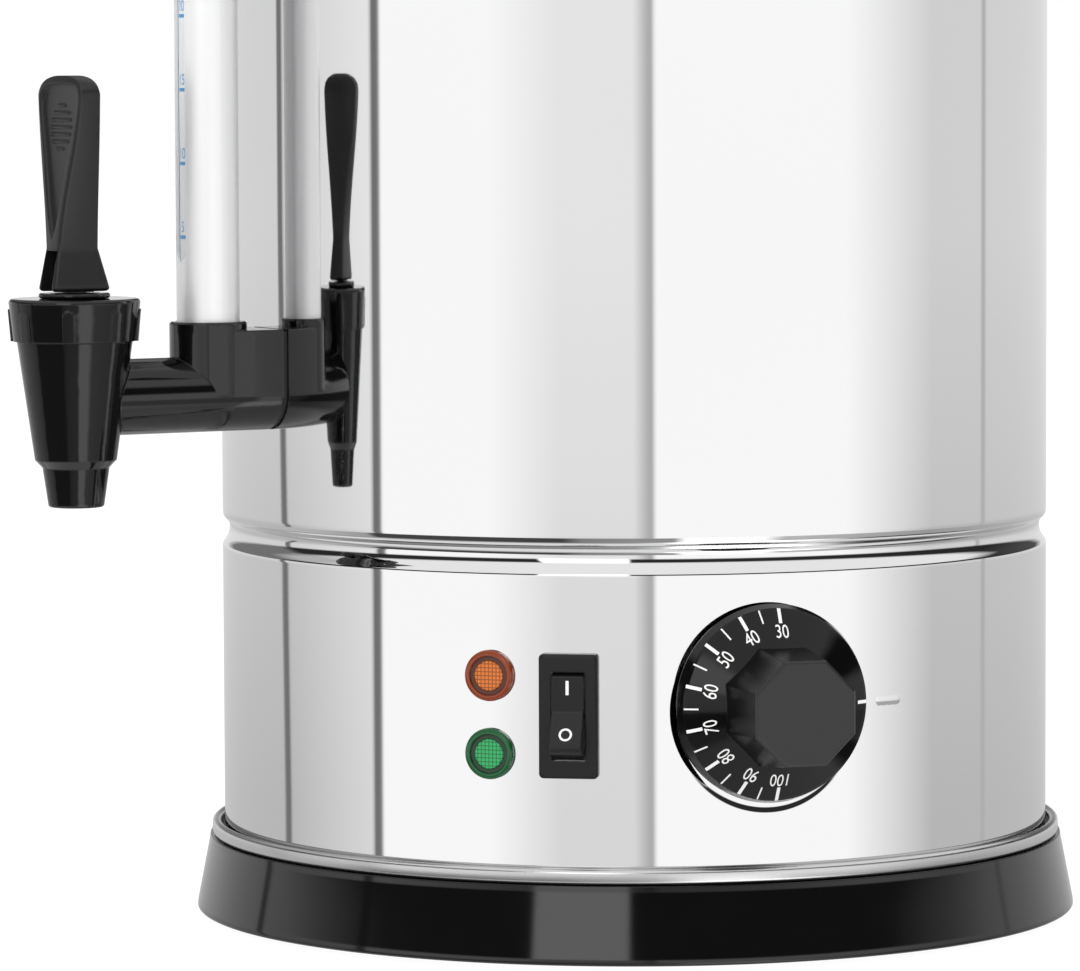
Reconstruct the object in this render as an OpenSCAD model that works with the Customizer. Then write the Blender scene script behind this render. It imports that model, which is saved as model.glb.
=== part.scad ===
// Hot water urn: a single-wall steel vessel on a black foot, with a side tap, a level gauge,
// two carrying handles, a lift-off lid and a thermostat with its switch and lamps.
// The tap points along -Y, the origin is on the vessel's axis at the resting plane, +Z is up.

/* [Body] */
// Outer diameter of the body shell
body_d = 220; // [205:1:235]
// Thickness of the body sheet
shell_t = 0.8; // [0.6:0.1:1.1]
// Height of the rim above the table
rim_z = 385; // [372:1:410]
// Height of the waist groove's middle above the table
groove_z = 104.7; // [103:0.1:106]
// Height of the waist groove
groove_w = 11.2; // [9:0.1:12]
// Depth of the waist groove
groove_depth = 1.75; // [1:0.05:2]
// Diameter of the rolled edge at the rim
rim_roll_d = 5; // [4:0.1:6]
// Diameter of the fixing screws' shanks
screw_d = 4; // [3:0.1:5]

/* [Foot] */
// Outer diameter of the black foot at its lower edge
foot_d = 235; // [232:1:244]
// Outer diameter of the black foot at its upper edge
foot_top_d = 227.8; // [226:0.2:230]
// Height of the black foot
foot_h = 19.7; // [18:0.1:21]
// Wall thickness of the black foot
foot_t = 2.5; // [2:0.1:3]
// Radius of the foot's lower edge
foot_edge_r = 1.2; // [0.8:0.1:3]
// How far the rubber ring stands out below the black foot
pad_gap = 1.5; // [1:0.1:2]
// Outer diameter of the rubber ring
pad_d = 176; // [168:1:178]
// Width of the rubber ring
pad_w = 9; // [7:0.5:12]
// Thickness of the bottom plate
plate_t = 1; // [0.8:0.1:1.5]
// Radial width of the rolled edge around the body
edge_w = 2.4; // [2:0.1:3]
// Height of the rolled edge around the body
edge_h = 4.2; // [3.6:0.1:5]
// Gap between the body and the rolled edge
edge_gap = 0.9; // [0.5:0.1:1.2]

/* [Tap] */
// Distance from the body's surface to the tap's axis
tap_reach = 54.8; // [52:0.2:60]
// Height of the arm's axis above the table
arm_z = 142; // [138:0.5:146]
// Outer diameter of the arm
arm_d = 19.4; // [18:0.1:20]
// Bore of the arm
arm_bore_d = 9; // [7:0.5:10]
// Diameter of the threaded shank that passes the body
shank_d = 16; // [14:0.5:17]
// Diameter of the tap's body under its cap
tap_top_d = 29.4; // [29:0.2:32]
// Diameter of the tap's body above the spout
tap_low_d = 20.8; // [20:0.2:22]
// Height of the tap body's cone
tap_cone_h = 30.2; // [29:0.2:33]
// Diameter of the spout at its root
spout_top_d = 17; // [16.4:0.2:18]
// Diameter of the spout at its mouth
spout_low_d = 14.3; // [13.4:0.1:15]
// Length of the spout
spout_h = 10; // [8:0.2:13]
// Bore of the spout
spout_bore_d = 9.6; // [8:0.2:10]
// Largest diameter of the tap's screw cap
cap_d = 33.4; // [33:0.2:35]
// Height of the tap's screw cap
cap_h = 10.8; // [9.6:0.2:12]
// Number of ribs around the cap
cap_ribs = 8; // [6:1:12]
// Diameter of the guide collar under the lever
guide_d = 18.2; // [17:0.2:21]
// Height of the guide collar
guide_h = 1.5; // [1.3:0.1:3]
// Diameter of the valve stem
stem_d = 6; // [5:0.1:6.4]
// Height of the lever above the guide collar
lever_h = 54.5; // [50:0.5:60]
// Width of the lever's blade at its top
lever_w = 24.2; // [21:0.2:26]
// Thickness of the lever's blade at its top
lever_t = 5; // [4:0.1:6]
// Width of the lever's forked root
fork_w = 10; // [9.8:0.2:11]
// Depth of the lever's forked root, front to back
fork_t = 15.8; // [15:0.2:16]
// Width of the stem's tongue in the fork
tongue_w = 6.2; // [5.4:0.2:6.4]
// Diameter of the stem's cross pin
cross_pin_d = 3.6; // [3:0.1:4]

/* [Gauge] */
// Distance from the body's surface to the gauge's axis
gauge_reach = 17; // [16.4:0.2:18.4]
// Diameter of the gauge's guard tube
guard_d = 16.2; // [15.4:0.1:17]
// Wall thickness of the guard tube
guard_t = 1; // [0.8:0.1:1.2]
// Height of the guard tube's upper end above the table
guard_top = 350; // [340:1:352]
// Height of the sight slot's lower end above the table
slot_low = 175.9; // [172:0.5:182]
// Width of the sight slot
slot_w = 5.6; // [5:0.1:6.4]
// Outer diameter of the sight tube
sight_d = 10; // [9:0.1:10.4]
// Wall thickness of the sight tube
sight_t = 1.2; // [1:0.1:1.5]
// Outer diameter of the collars that hold the gauge
socket_d = 20; // [19.6:0.1:22]
// Depth of the guard tube in its collars
socket_depth = 7.8; // [6:0.2:8.4]

/* [Controls] */
// Direction of the pilot lamps, counted from the tap
lamp_az = 40; // [39:0.2:42]
// Height of the upper lamp above the table
lamp_high_z = 73.3; // [72:0.1:76]
// Height of the lower lamp above the table
lamp_low_z = 53.6; // [50:0.1:55]
// Flange diameter of the pilot lamps
lamp_d = 12.9; // [12.4:0.1:14]
// Direction of the rocker switch, counted from the tap
switch_az = 50.7; // [50:0.1:52]
// Height of the switch's middle above the table
switch_z = 63.6; // [60:0.1:66]
// Width of the switch's bezel
bezel_w = 15; // [14.8:0.1:16]
// Height of the switch's bezel
bezel_h = 31.3; // [31:0.1:33]
// How far the bezel stands out of the body
bezel_t = 2.5; // [2.2:0.1:3]
// Width of the rocker
rocker_w = 8; // [7.4:0.1:8.4]
// Tilt of the rocker to each side of its middle
rocker_tilt = 15; // [12:1:16]
// Direction of the thermostat knob, counted from the tap
knob_az = 77; // [75:0.2:79]
// Height of the knob's axis above the table
knob_z = 66.4; // [62:0.2:68]
// Largest diameter of the knob's skirt
knob_d = 50.2; // [49.4:0.2:53]
// Diameter of the knob's dial edge
dial_d = 48.4; // [47:0.2:49]
// Height of the knob's dial edge above the body
dial_h = 5; // [4.6:0.1:6]
// Height of the knob's front above the body
knob_h = 28; // [25:0.5:32]
// Width across the flats of the grip at its front
grip_w = 26.2; // [24:0.2:27]
// Width across the flats of the grip at its root
grip_root_w = 29.4; // [27:0.2:30]
// Diameter of the thermostat's spindle
spindle_d = 6; // [5:0.1:7]
// Length of the index mark beside the knob
index_l = 7.2; // [6:0.1:10]
// Width of the index mark beside the knob
index_w = 1.8; // [1.4:0.1:2.4]

/* [Heating] */
// Diameter of the heat spreader under the vessel's floor
spreader_d = 150; // [142:1:156]
// Thickness of the heat spreader
spreader_t = 6; // [5:0.2:7]
// Diameter of the heating element's rod
rod_d = 8.2; // [7:0.1:8.6]
// Diameter of the heating element's ring, at the rod's middle
ring_d = 104; // [98:1:108]
// Diameter of the safety cut-out
cutout_d = 22; // [20:0.5:25]
// Height of the safety cut-out
cutout_h = 9; // [8:0.2:11]
// Diameter of the reset button
button_d = 5; // [4:0.1:6]
// Travel of the reset button
button_travel = 1.5; // [1:0.1:2]

/* [Handles] */
// Height of the carrying handles above the table
handle_z = 330; // [310:1:340]
// Distance between the two legs of a handle
handle_span = 84; // [76:1:90]
// Distance from the body's surface to the grip's axis
handle_reach = 33; // [30:0.5:38]
// Thickness of the grip
grip_d = 16; // [14:0.5:18]
// Bend radius of the grip's corners
grip_bend = 15; // [12:0.5:17]

/* [Lid] */
// Thickness of the lid sheet
lid_t = 0.9; // [0.7:0.1:1.2]
// Height of the lid's crown above the rim
lid_rise = 15; // [12:0.5:20]
// Depth of the lid's skirt below the rim
lid_skirt = 10; // [8:0.5:14]
// Gap between the lid's skirt and the body
lid_gap = 1.2; // [0.8:0.1:2]
// Diameter of the lid's knob
lid_knob_d = 42; // [36:1:48]
// Height of the lid's knob
lid_knob_h = 29; // [26:0.5:34]

/* [Inlet] */
// Height of the cord inlet above the table
inlet_z = 50; // [44:1:60]
// Bore of the cord inlet
inlet_bore_d = 8; // [7:0.2:9]
// Thread diameter of the cord inlet
inlet_thread_d = 14; // [13:0.2:15]

/* [Hidden] */
$fn = 96;

cut = 1;                 // how far a cutting solid runs past the face it opens
seat = 0.03;             // gap between faces that lie against each other
run = 0.06;              // radial clearance of a turning or sliding fit
free = 0.3;              // clearance between parts that move past each other
play = 0.2;              // radial clearance of a fixed part in its hole

body_r = body_d / 2;
inner_r = body_r - shell_t;
tray_z = pad_gap + foot_h;
tray_t = 0.8;
upstand_h = 8;
weld_nut_h = 3.2;
shell_z = tray_z + tray_t;
foot_hollow = 0.2;
ledge_r = body_r - 15;
ledge_t = 2.5;

boss_d = 9;
boss_ring_r = ledge_r + boss_d / 2 + 0.5;
plate_r = min(foot_top_d, foot_d - 2 * foot_edge_r) / 2 - foot_t - 2;
plate_z = pad_gap + 2;
screw_head_d = 1.75 * screw_d;
screw_head_h = 0.55 * screw_d;

floor_z = groove_z + groove_w / 2 + 0.2;
floor_t = 1;
floor_lip = 8;
spreader_z = floor_z - seat - spreader_t;
bulb_d = 6;
bulb_l = 56;
bulb_r = (ring_d + rod_d + spreader_d) / 4;
capillary_d = 1.6;
capillary_bend = 4;

tap_y = -(body_r + tap_reach);
gauge_y = -(body_r + gauge_reach);
cap_z = arm_z + 14.7;
cone_z = cap_z - tap_cone_h;
shoulder_h = 2;
spout_z = cone_z - shoulder_h - spout_h;
cap_top = cap_z + cap_h;
guide_top = cap_top + guide_h;
lever_z = guide_top + free;
pivot_h = 6;
pivot_z = lever_z + pivot_h;
cross_pin_l = fork_w - 2.1;
waist_h = 10.9;
waist_w = fork_w / 2 - 1;
waist_front = 6.2;
waist_back = 5.2;
blade_top_h = lever_h - 4.8;
blade_back = 1.1;
blade_front = lever_t - blade_back;
panel_mid = 26;
seat_z = cone_z + 2;
seat_r = spout_bore_d / 2;
cup_h = 5.5;
cup_r = seat_r + 1.7;
spring_low = arm_z + 1;
spring_top = cap_z + 1.2;
spring_r = stem_d / 2 + 1.4;
wire_d = 1;
flange_t = 1.4;
neck_r = cap_d / 2 - 3.4;
cap_plate = 3;
neck_h = cap_h - cap_plate - 1;
guide_root_r = guide_d / 2 - 3 - seat;
socket_top = arm_z + 18.7;
block_top = socket_top - 2.2;
guard_low = socket_top - socket_depth;
gasket_t = 0.8;
shank_end = body_r - 22;
shank_washer_t = 2.5;
nut_t = 6;
nut_af = shank_d + 8;
spigot_d = arm_bore_d + 4.6;
spigot_l = 9;

sight_low = guard_low - 4;
sight_top = guard_top + 5;
slot_top = guard_top - socket_depth - 6;
holder_top = sight_top + 5;
holder_arm_d = 13;
seal_h = 3.6;

switch_depth = 20;
switch_body_w = 12.2;
switch_body_h = 27.2;
window_h = 22.9;
rocker_r = window_h / 2 - 0.25;
rocker_pivot = bezel_t - 3.5;
rocker_pin_d = 2.4;
rocker_face = 4.8;
rocker_back = 4;
lamp_hole_d = 10.2;
lamp_stem_d = lamp_hole_d - 0.4;
lamp_stem_l = 9;
lamp_bore_d = 7.8;
lamp_front = -0.2;
thermostat_w = 34;
thermostat_t = 20;
thermostat_front = -wall_depth(thermostat_w / 2) - 0.6;
bush_d = 9.6;
fix_pitch = 28;
fix_d = 6.6;
skirt_low = 2;
grip_low = dial_h + 6.3;
index_rise = 0.55;
index_drop = 1.2;
index_az = knob_az + asin((knob_d / 2 + 5 + index_l / 2) / body_r);

rim_roll_r = rim_roll_d / 2;
roll_x = body_r + rim_roll_r - 0.6;
lid_skirt_r = inner_r - lid_gap;
lid_flange_r = roll_x + rim_roll_r + 1.3;
lid_crown_r = 18;
leg_x = handle_span / 2;
leg_az = asin(leg_x / body_r);

// A point list along an arc
function arc(cx, cy, r, a0, a1, n) =
    [for (i = [0:n]) [cx + r * cos(a0 + (a1 - a0) * i / n), cy + r * sin(a0 + (a1 - a0) * i / n)]];

// Radius of the body's outer face at a height, with the waist groove rolled into it
function groove_r(z) =
    body_r - (abs(z - groove_z) < groove_w / 2
        ? groove_depth * (0.5 + 0.5 * cos(360 * (z - groove_z) / groove_w)) : 0);

// How far the body's inner face lies below its crest, at the edge of a flat of this half width
function wall_depth(half) = body_r - sqrt(inner_r * inner_r - half * half);

// Heights at which the body's section has a point
function groove_steps(n) = [for (i = [0:n]) groove_z - groove_w / 2 + groove_w * i / n];

// Places a child on the body: its Z points outwards, its Y upwards
module on_body(az, z) {
    rotate([0, 0, az])
        translate([0, -body_r, z])
            rotate([90, 0, 0])
                children();
}

// A tall cylinder on the vessel's axis, for faces that follow the body's wall
module wall_cylinder(r) {
    cylinder(h = rim_z, r = r, $fn = 360);
}

// A ring with its axis along Z
module ring(outer_r, inner_r, z, h) {
    translate([0, 0, z])
        difference() {
            cylinder(h = h, r = outer_r);
            translate([0, 0, -cut])
                cylinder(h = h + 2 * cut, r = inner_r);
        }
}

// A screw along Z: its head lies above z = 0 and its shank below
module screw(l) {
    cylinder(h = screw_head_h, d = screw_head_d, $fn = 32);
    translate([0, 0, -l])
        cylinder(h = l + screw_head_h / 2, d = screw_d, $fn = 32);
}

// ---- Foot ----

module foot_skirt() {
    low_r = foot_d / 2;
    top_r = foot_top_d / 2;
    side_h = foot_h - 2 - foot_edge_r;
    section = concat(
        [[top_r, tray_z]],
        [for (i = [0:5]) let (u = i / 6)
            [top_r + 0.3 + (low_r - top_r - 0.3) * u - foot_hollow * sin(180 * u),
             tray_z - 2 - side_h * u]],
        arc(low_r - foot_edge_r, pad_gap + foot_edge_r, foot_edge_r, 10, -90, 8),
        [[low_r - foot_edge_r - foot_t, pad_gap], [top_r - foot_t, tray_z - ledge_t],
         [ledge_r, tray_z - ledge_t], [ledge_r, tray_z]]);
    color("black")
    difference() {
        union() {
            rotate_extrude()
                polygon(section);
            for (a = [45:90:315])
                rotate([0, 0, a])
                    translate([boss_ring_r, 0, plate_z + plate_t + seat])
                        cylinder(h = tray_z - plate_z - plate_t - 0.5, d = boss_d, $fn = 32);
        }
        for (a = [45:90:315])
            rotate([0, 0, a])
                translate([boss_ring_r, 0, plate_z])
                    cylinder(h = foot_h, d = screw_d + 0.1, $fn = 32);
    }
}

module bottom_plate() {
    vent_n = 10;
    color("silver")
    difference() {
        translate([0, 0, plate_z])
            cylinder(h = plate_t, r = plate_r);
        for (a = [45:90:315])
            rotate([0, 0, a])
                translate([boss_ring_r, 0, plate_z - cut])
                    cylinder(h = plate_t + 2 * cut, d = screw_d + 2 * play, $fn = 32);
        for (a = [0:360 / vent_n:359])
            rotate([0, 0, a])
                translate([body_r / 2, -2, plate_z - cut])
                    cube([20, 4, plate_t + 2 * cut]);
        translate([0, 0, plate_z - cut])
            cylinder(h = plate_t + 2 * cut, d = 2 * button_d);
    }
}

module rubber_ring() {
    bevel = 0.8;
    out = pad_d / 2;
    in = out - pad_w;
    color("dimgray")
    rotate_extrude()
        polygon([[in + bevel, 0], [out - bevel, 0], [out, bevel], [out, plate_z - seat],
            [in, plate_z - seat], [in, bevel]]);
}

module foot_screws() {
    color("gray")
    for (a = [45:90:315])
        rotate([0, 0, a])
            translate([boss_ring_r, 0, plate_z - seat])
                rotate([180, 0, 0])
                    screw(tray_z + tray_t + weld_nut_h - plate_z);
}

module edge_tray() {
    roll_r = edge_w / 2;
    mid = body_r + edge_gap + roll_r;
    color("silver")
    difference() {
        union() {
            rotate_extrude()
                tray_section(mid, roll_r);
            for (a = [45:90:315])
                rotate([0, 0, a])
                    translate([boss_ring_r, 0, tray_z + tray_t / 2])
                        cylinder(h = tray_t / 2 + weld_nut_h, d = 2 * screw_d, $fn = 32);
        }
        for (a = [45:90:315])
            rotate([0, 0, a])
                translate([boss_ring_r, 0, tray_z - cut])
                    cylinder(h = tray_t + weld_nut_h + 2 * cut, d = screw_d + 0.1, $fn = 32);
    }
}

// The tray's section: floor, rolled edge outside the body and upstand inside it
module tray_section(mid, roll_r) {
    union() {
        translate([ledge_r, tray_z])
            square([mid - ledge_r, tray_t]);
        translate([mid, tray_z + roll_r])
            circle(r = roll_r, $fn = 32);
        translate([mid, tray_z + edge_h - roll_r])
            circle(r = roll_r, $fn = 32);
        translate([mid - roll_r, tray_z + roll_r])
            square([edge_w, edge_h - edge_w]);
        translate([inner_r - 0.05 - tray_t, tray_z])
            square([tray_t, upstand_h]);
    }
}

// ---- Vessel ----

module shell_hole(az, z, d) {
    on_body(az, z)
        translate([0, 0, -3 * shell_t - 4])
            cylinder(h = 6 * shell_t + 8, d = d, $fn = 48);
}

module body_shell() {
    steps = groove_steps(16);
    outer = concat([[body_r, shell_z + seat]], [for (z = steps) [groove_r(z), z]],
        [[body_r, rim_z - rim_roll_r]]);
    inner = [for (i = [len(outer) - 1:-1:0]) outer[i] - [shell_t, 0]];
    color("silver")
    difference() {
        union() {
            rotate_extrude($fn = 180) {
                polygon(concat(outer, inner));
                translate([roll_x, rim_z - rim_roll_r])
                    circle(r = rim_roll_r, $fn = 32);
            }
            index_mark();
        }
        wall_holes();
    }
}

// The raised index mark beside the knob
module index_mark() {
    difference() {
        on_body(index_az, knob_z - index_drop)
            translate([-index_l / 2, 0, index_rise - index_w / 2]) {
                wire(index_w, index_l);
                for (x = [0, index_l])
                    translate([x, 0, 0])
                        sphere(d = index_w * 1.02, $fn = 24);
            }
        wall_cylinder(inner_r + shell_t / 2);
    }
}

// Everything that is cut through the body's wall
module wall_holes() {
    shell_hole(lamp_az, lamp_high_z, lamp_hole_d);
    shell_hole(lamp_az, lamp_low_z, lamp_hole_d);
    on_body(switch_az, switch_z)
        translate([-switch_body_w / 2 - play, -switch_body_h / 2 - play, -8])
            cube([switch_body_w + 2 * play, switch_body_h + 2 * play, 16]);
    shell_hole(knob_az, knob_z, bush_d + 2 * play);
    for (s = [-1, 1])
        shell_hole(knob_az, knob_z + s * fix_pitch / 2, screw_d + 2 * play);
    shell_hole(0, arm_z, shank_d + 2 * play);
    shell_hole(0, holder_z, screw_d + 2 * play);
    for (side = [90, -90])
        for (s = [-1, 1])
            shell_hole(side + s * leg_az, handle_z, screw_d + 2 * play);
    shell_hole(180, inlet_z, inlet_thread_d + 2 * play);
}

module vessel_floor() {
    r = inner_r - 0.05;
    color("silver")
    rotate_extrude()
        polygon(concat(
            [[0, floor_z]], arc(r - 3, floor_z + 3, 3, -90, 0, 6),
            [[r, floor_z + floor_lip], [r - floor_t, floor_z + floor_lip]],
            arc(r - 3, floor_z + 3, 3 - floor_t, 0, -90, 6), [[0, floor_z + floor_t]]));
}

// ---- Heating ----

module heat_spreader() {
    color("lightgray")
    difference() {
        translate([0, 0, spreader_z])
            cylinder(h = spreader_t, d = spreader_d);
        translate([0, 0, spreader_z])
            rotate_extrude()
                translate([ring_d / 2, 0])
                    circle(d = rod_d + 0.2, $fn = 32);
        for (s = [-1, 1])
            translate([s * bracket_pitch / 2, 0, spreader_z - cut])
                cylinder(h = 3.6 + cut, d = screw_d + 0.1, $fn = 32);
    }
}

module heating_element() {
    gap = 40;
    leg = 20;
    color("dimgray")
    translate([0, 0, spreader_z]) {
        rotate([0, 0, 90 + gap / 2])
            rotate_extrude(angle = 360 - gap)
                translate([ring_d / 2, 0])
                    circle(d = rod_d, $fn = 32);
        for (a = [90 - gap / 2, 90 + gap / 2])
            rotate([0, 0, a])
                translate([ring_d / 2, 0, 0]) {
                    sphere(d = rod_d, $fn = 32);
                    translate([0, 0, -leg])
                        cylinder(h = leg, d = rod_d, $fn = 32);
                    translate([0, 0, -leg - 8])
                        cylinder(h = leg, d = 3, $fn = 24);
                }
    }
}

cutout_z = spreader_z - seat - cutout_h;
bracket_t = 1.2;
bracket_pitch = cutout_d + 16;
bracket_w = 13;

module safety_cutout() {
    color("ivory")
    difference() {
        union() {
            translate([0, 0, cutout_z])
                cylinder(h = cutout_h, d = cutout_d);
            for (s = [-1, 1])
                translate([-2.4, s * (cutout_d / 2 + 3) - 4.5, cutout_z + 2])
                    cube([4.8, 9, 0.8]);
        }
        translate([0, 0, cutout_z - cut])
            cylinder(h = 5.5 + cut, d = button_d + 2 * run);
    }
}

module cutout_bracket() {
    x_in = cutout_d / 2 + 0.4;
    x_out = bracket_pitch / 2 + 5;
    z0 = cutout_z - seat - bracket_t;
    top = spreader_z - seat;
    half = [[x_in + bracket_t, z0], [x_in + bracket_t, top - bracket_t], [x_out, top - bracket_t],
        [x_out, top], [x_in, top], [x_in, z0 + bracket_t]];
    color("silver")
    difference() {
        rotate([90, 0, 0])
            translate([0, 0, -bracket_w / 2])
                linear_extrude(height = bracket_w)
                    polygon(concat(half, [for (i = [len(half) - 1:-1:0]) [-half[i][0], half[i][1]]]));
        translate([0, 0, z0 - cut])
            cylinder(h = bracket_t + 2 * cut, d = button_d + 3);
        for (s = [-1, 1])
            translate([s * bracket_pitch / 2, 0, top - bracket_t - cut])
                cylinder(h = bracket_t + 2 * cut, d = screw_d + 2 * play, $fn = 32);
    }
}

module bracket_screws() {
    color("gray")
    for (s = [-1, 1])
        translate([s * bracket_pitch / 2, 0, spreader_z - bracket_t - 2 * seat])
            rotate([180, 0, 0])
                screw(bracket_t + 3.4);
}

module reset_button() {
    color("red")
    translate([0, 0, cutout_z - bracket_t - 2.2])
        cylinder(h = bracket_t + 2.2 + 5.5 - button_travel - 0.4, d = button_d);
}

// ---- Thermostat ----

module thermostat_body() {
    back = thermostat_front - thermostat_t;
    color("dimgray")
    on_body(knob_az, knob_z)
        difference() {
            union() {
                translate([-thermostat_w / 2, -thermostat_w / 2, back])
                    cube([thermostat_w, thermostat_w, thermostat_t]);
                translate([0, 0, thermostat_front - cut])
                    cylinder(h = cut - thermostat_front + 0.6, d = bush_d, $fn = 48);
                for (s = [-1, 1])
                    translate([0, s * fix_pitch / 2, thermostat_front - cut])
                        cylinder(h = cut - thermostat_front - wall_depth(fix_d / 2) - seat,
                            d = fix_d, $fn = 32);
                for (x = [-10, 0, 10])
                    translate([x - 2.4, -14, back - 7])
                        cube([4.8, 0.8, 8]);
            }
            translate([0, 0, -14])
                cylinder(h = 20, d = spindle_d + 2 * run, $fn = 48);
            for (s = [-1, 1])
                translate([0, s * fix_pitch / 2, -9])
                    cylinder(h = 10, d = screw_d + 0.1, $fn = 32);
        }
}

module thermostat_screws() {
    color("gray")
    on_body(knob_az, knob_z)
        for (s = [-1, 1])
            translate([0, s * fix_pitch / 2, seat])
                screw(8);
}

// The sensing bulb lies under the heat spreader, its capillary runs to the thermostat's top
module capillary_bulb() {
    z = spreader_z - bulb_d / 2 - seat;
    lead = 3;
    out_l = body_r - 12 - bulb_r - 2 * capillary_bend;
    across_l = bulb_l / 2 + lead - 9;
    down_l = z - capillary_bend - knob_z - thermostat_w / 2 - seat;
    color("peru")
    rotate([0, 0, knob_az])
        translate([bulb_l / 2, -bulb_r, z])
            rotate([0, 0, 180]) {
                wire(bulb_d, bulb_l);
                translate([bulb_l, 0, 0])
                    wire_bend(capillary_d, lead)
                        wire_bend(capillary_d, out_l)
                            wire_drop(capillary_d, across_l)
                                wire(capillary_d, down_l);
            }
}

// A straight round wire from the origin along X
module wire(d, l) {
    rotate([0, 90, 0])
        cylinder(h = l, d = d, $fn = 24);
}

// A quarter ring of wire that starts along X at the origin and ends along Y
module quarter_ring(d) {
    translate([0, capillary_bend, 0])
        rotate([0, 0, -90])
            rotate_extrude(angle = 90)
                translate([capillary_bend, 0])
                    circle(d = d, $fn = 24);
}

// A straight wire with a bend to the left; its child goes on from the bend's end
module wire_bend(d, l) {
    wire(d, l);
    translate([l, 0, 0]) {
        quarter_ring(d);
        translate([capillary_bend, capillary_bend, 0])
            rotate([0, 0, 90])
                children();
    }
}

// A straight wire with a bend downwards; its child goes on from the bend's end
module wire_drop(d, l) {
    wire(d, l);
    translate([l, 0, 0]) {
        rotate([-90, 0, 0])
            quarter_ring(d);
        translate([capillary_bend, 0, -capillary_bend])
            rotate([0, 90, 0])
                children();
    }
}

module thermostat_spindle() {
    color("silver")
    on_body(knob_az, knob_z)
        translate([0, 0, -13])
            cylinder(h = 13 + knob_h - 8, d = spindle_d, $fn = 48);
}

// An octagonal cone with bevelled front edges, from the common part of four wedges
module octagon_grip(low, high, low_w, high_w, bevel) {
    intersection_for (a = [0:45:135])
        rotate([0, 0, a])
            rotate([90, 0, 0])
                translate([0, 0, -low_w])
                    linear_extrude(height = 2 * low_w)
                        polygon([[-low_w / 2, low], [low_w / 2, low], [high_w / 2, high - bevel],
                            [high_w / 2 - bevel, high], [bevel - high_w / 2, high],
                            [-high_w / 2, high - bevel]]);
}

module thermostat_knob() {
    hub_r = spindle_d / 2 + 2.6;
    color("black")
    on_body(knob_az, knob_z)
        difference() {
            union() {
                rotate_extrude()
                    polygon([[0, skirt_low], [knob_d / 2, skirt_low], [dial_d / 2, dial_h],
                        [dial_d / 2 - 0.7, dial_h + 0.5], [grip_root_w / 2 - 1, grip_low],
                        [0, grip_low]]);
                octagon_grip(grip_low - 1.5, knob_h, grip_root_w, grip_w, 0.5);
            }
            difference() {
                translate([0, 0, skirt_low - cut])
                    cylinder(h = cut + dial_h - skirt_low - 1, r = knob_d / 2 - 4);
                cylinder(h = dial_h, r = hub_r);
            }
            translate([0, 0, -cut])
                cylinder(h = cut + knob_h - 7.5, d = spindle_d + 0.04, $fn = 48);
        }
}

// ---- Switch and lamps ----

module switch_housing() {
    corner = 1.2;
    color("black")
    on_body(switch_az, switch_z)
        difference() {
            union() {
                bezel_plate(bezel_w, bezel_h, corner, seat, bezel_t - 0.8);
                bezel_plate(bezel_w - 1, bezel_h - 1, corner, bezel_t - 1, 1);
                translate([-switch_body_w / 2, -switch_body_h / 2, -switch_depth])
                    cube([switch_body_w, switch_body_h, switch_depth + 1]);
            }
            intersection() {
                translate([-rocker_w / 2 - free, -window_h / 2, rocker_pivot - 9])
                    cube([rocker_w + 2 * free, window_h, 20]);
                translate([-rocker_w, 0, rocker_pivot])
                    rotate([0, 90, 0])
                        cylinder(h = 2 * rocker_w, d = window_h + 0.3);
            }
            translate([-rocker_w / 2 - free - 1.3, 0, rocker_pivot])
                rotate([0, 90, 0])
                    cylinder(h = rocker_w + 2 * free + 2.6, d = rocker_pin_d + 2 * run, $fn = 32);
        }
}

// A plate with rounded corners, from z to z + h
module bezel_plate(w, l, r, z, h) {
    translate([0, 0, z])
        linear_extrude(height = h) {
            square([w - 2 * r, l], center = true);
            square([w, l - 2 * r], center = true);
            for (x = [-1, 1])
                for (y = [-1, 1])
                    translate([x * (w / 2 - r), y * (l / 2 - r)])
                        circle(r = r, $fn = 32);
        }
}

module switch_terminals() {
    color("gold")
    on_body(switch_az, switch_z)
        for (y = [-9, 0, 9])
            translate([-2.4, y - 0.4, -switch_depth - 8])
                cube([4.8, 0.8, 8 - seat]);
}

module switch_rocker() {
    w = rocker_w;
    reach = rocker_face + rocker_r * tan(rocker_tilt);
    color("black")
    on_body(switch_az, switch_z)
        translate([0, 0, rocker_pivot])
            rotate([-rocker_tilt, 0, 0]) {
                intersection() {
                    translate([-w / 2, 0, 0])
                        rotate([0, 90, 0])
                            cylinder(h = w, r = rocker_r);
                    translate([-w / 2, 0, 0])
                        rotate([90, 0, 90])
                            linear_extrude(height = w)
                                polygon([[-rocker_r, -rocker_back], [rocker_r, -rocker_back],
                                    [rocker_r, reach], [0, rocker_face], [-rocker_r, reach]]);
                }
                translate([-w / 2 - 1.2, 0, 0])
                    rotate([0, 90, 0])
                        cylinder(h = w + 2.4, d = rocker_pin_d, $fn = 32);
            }
}

// A lamp's lens: a round rim, a sunk ring and a flat disc in the middle
module lamp_lens(z) {
    rim_r = lamp_d / 2 - 1.4;
    disc_r = 3.7;
    on_body(lamp_az, z)
        difference() {
            rotate_extrude()
                polygon(concat(
                    [[0, -lamp_stem_l], [lamp_stem_d / 2, -lamp_stem_l], [lamp_stem_d / 2, seat],
                     [lamp_d / 2, seat]],
                    arc(lamp_d / 2 - 0.8, 0.8, 0.8, 0, 90, 4),
                    [[rim_r, 1.6], [rim_r - 0.2, 0.9], [disc_r + 0.1, 0.9], [disc_r, 1.2],
                     [0, 1.2]]));
            translate([0, 0, -lamp_stem_l - cut])
                cylinder(h = lamp_stem_l + cut + lamp_front, d = lamp_bore_d, $fn = 48);
        }
}

module amber_lens() {
    color("orange")
        lamp_lens(lamp_high_z);
}

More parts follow.
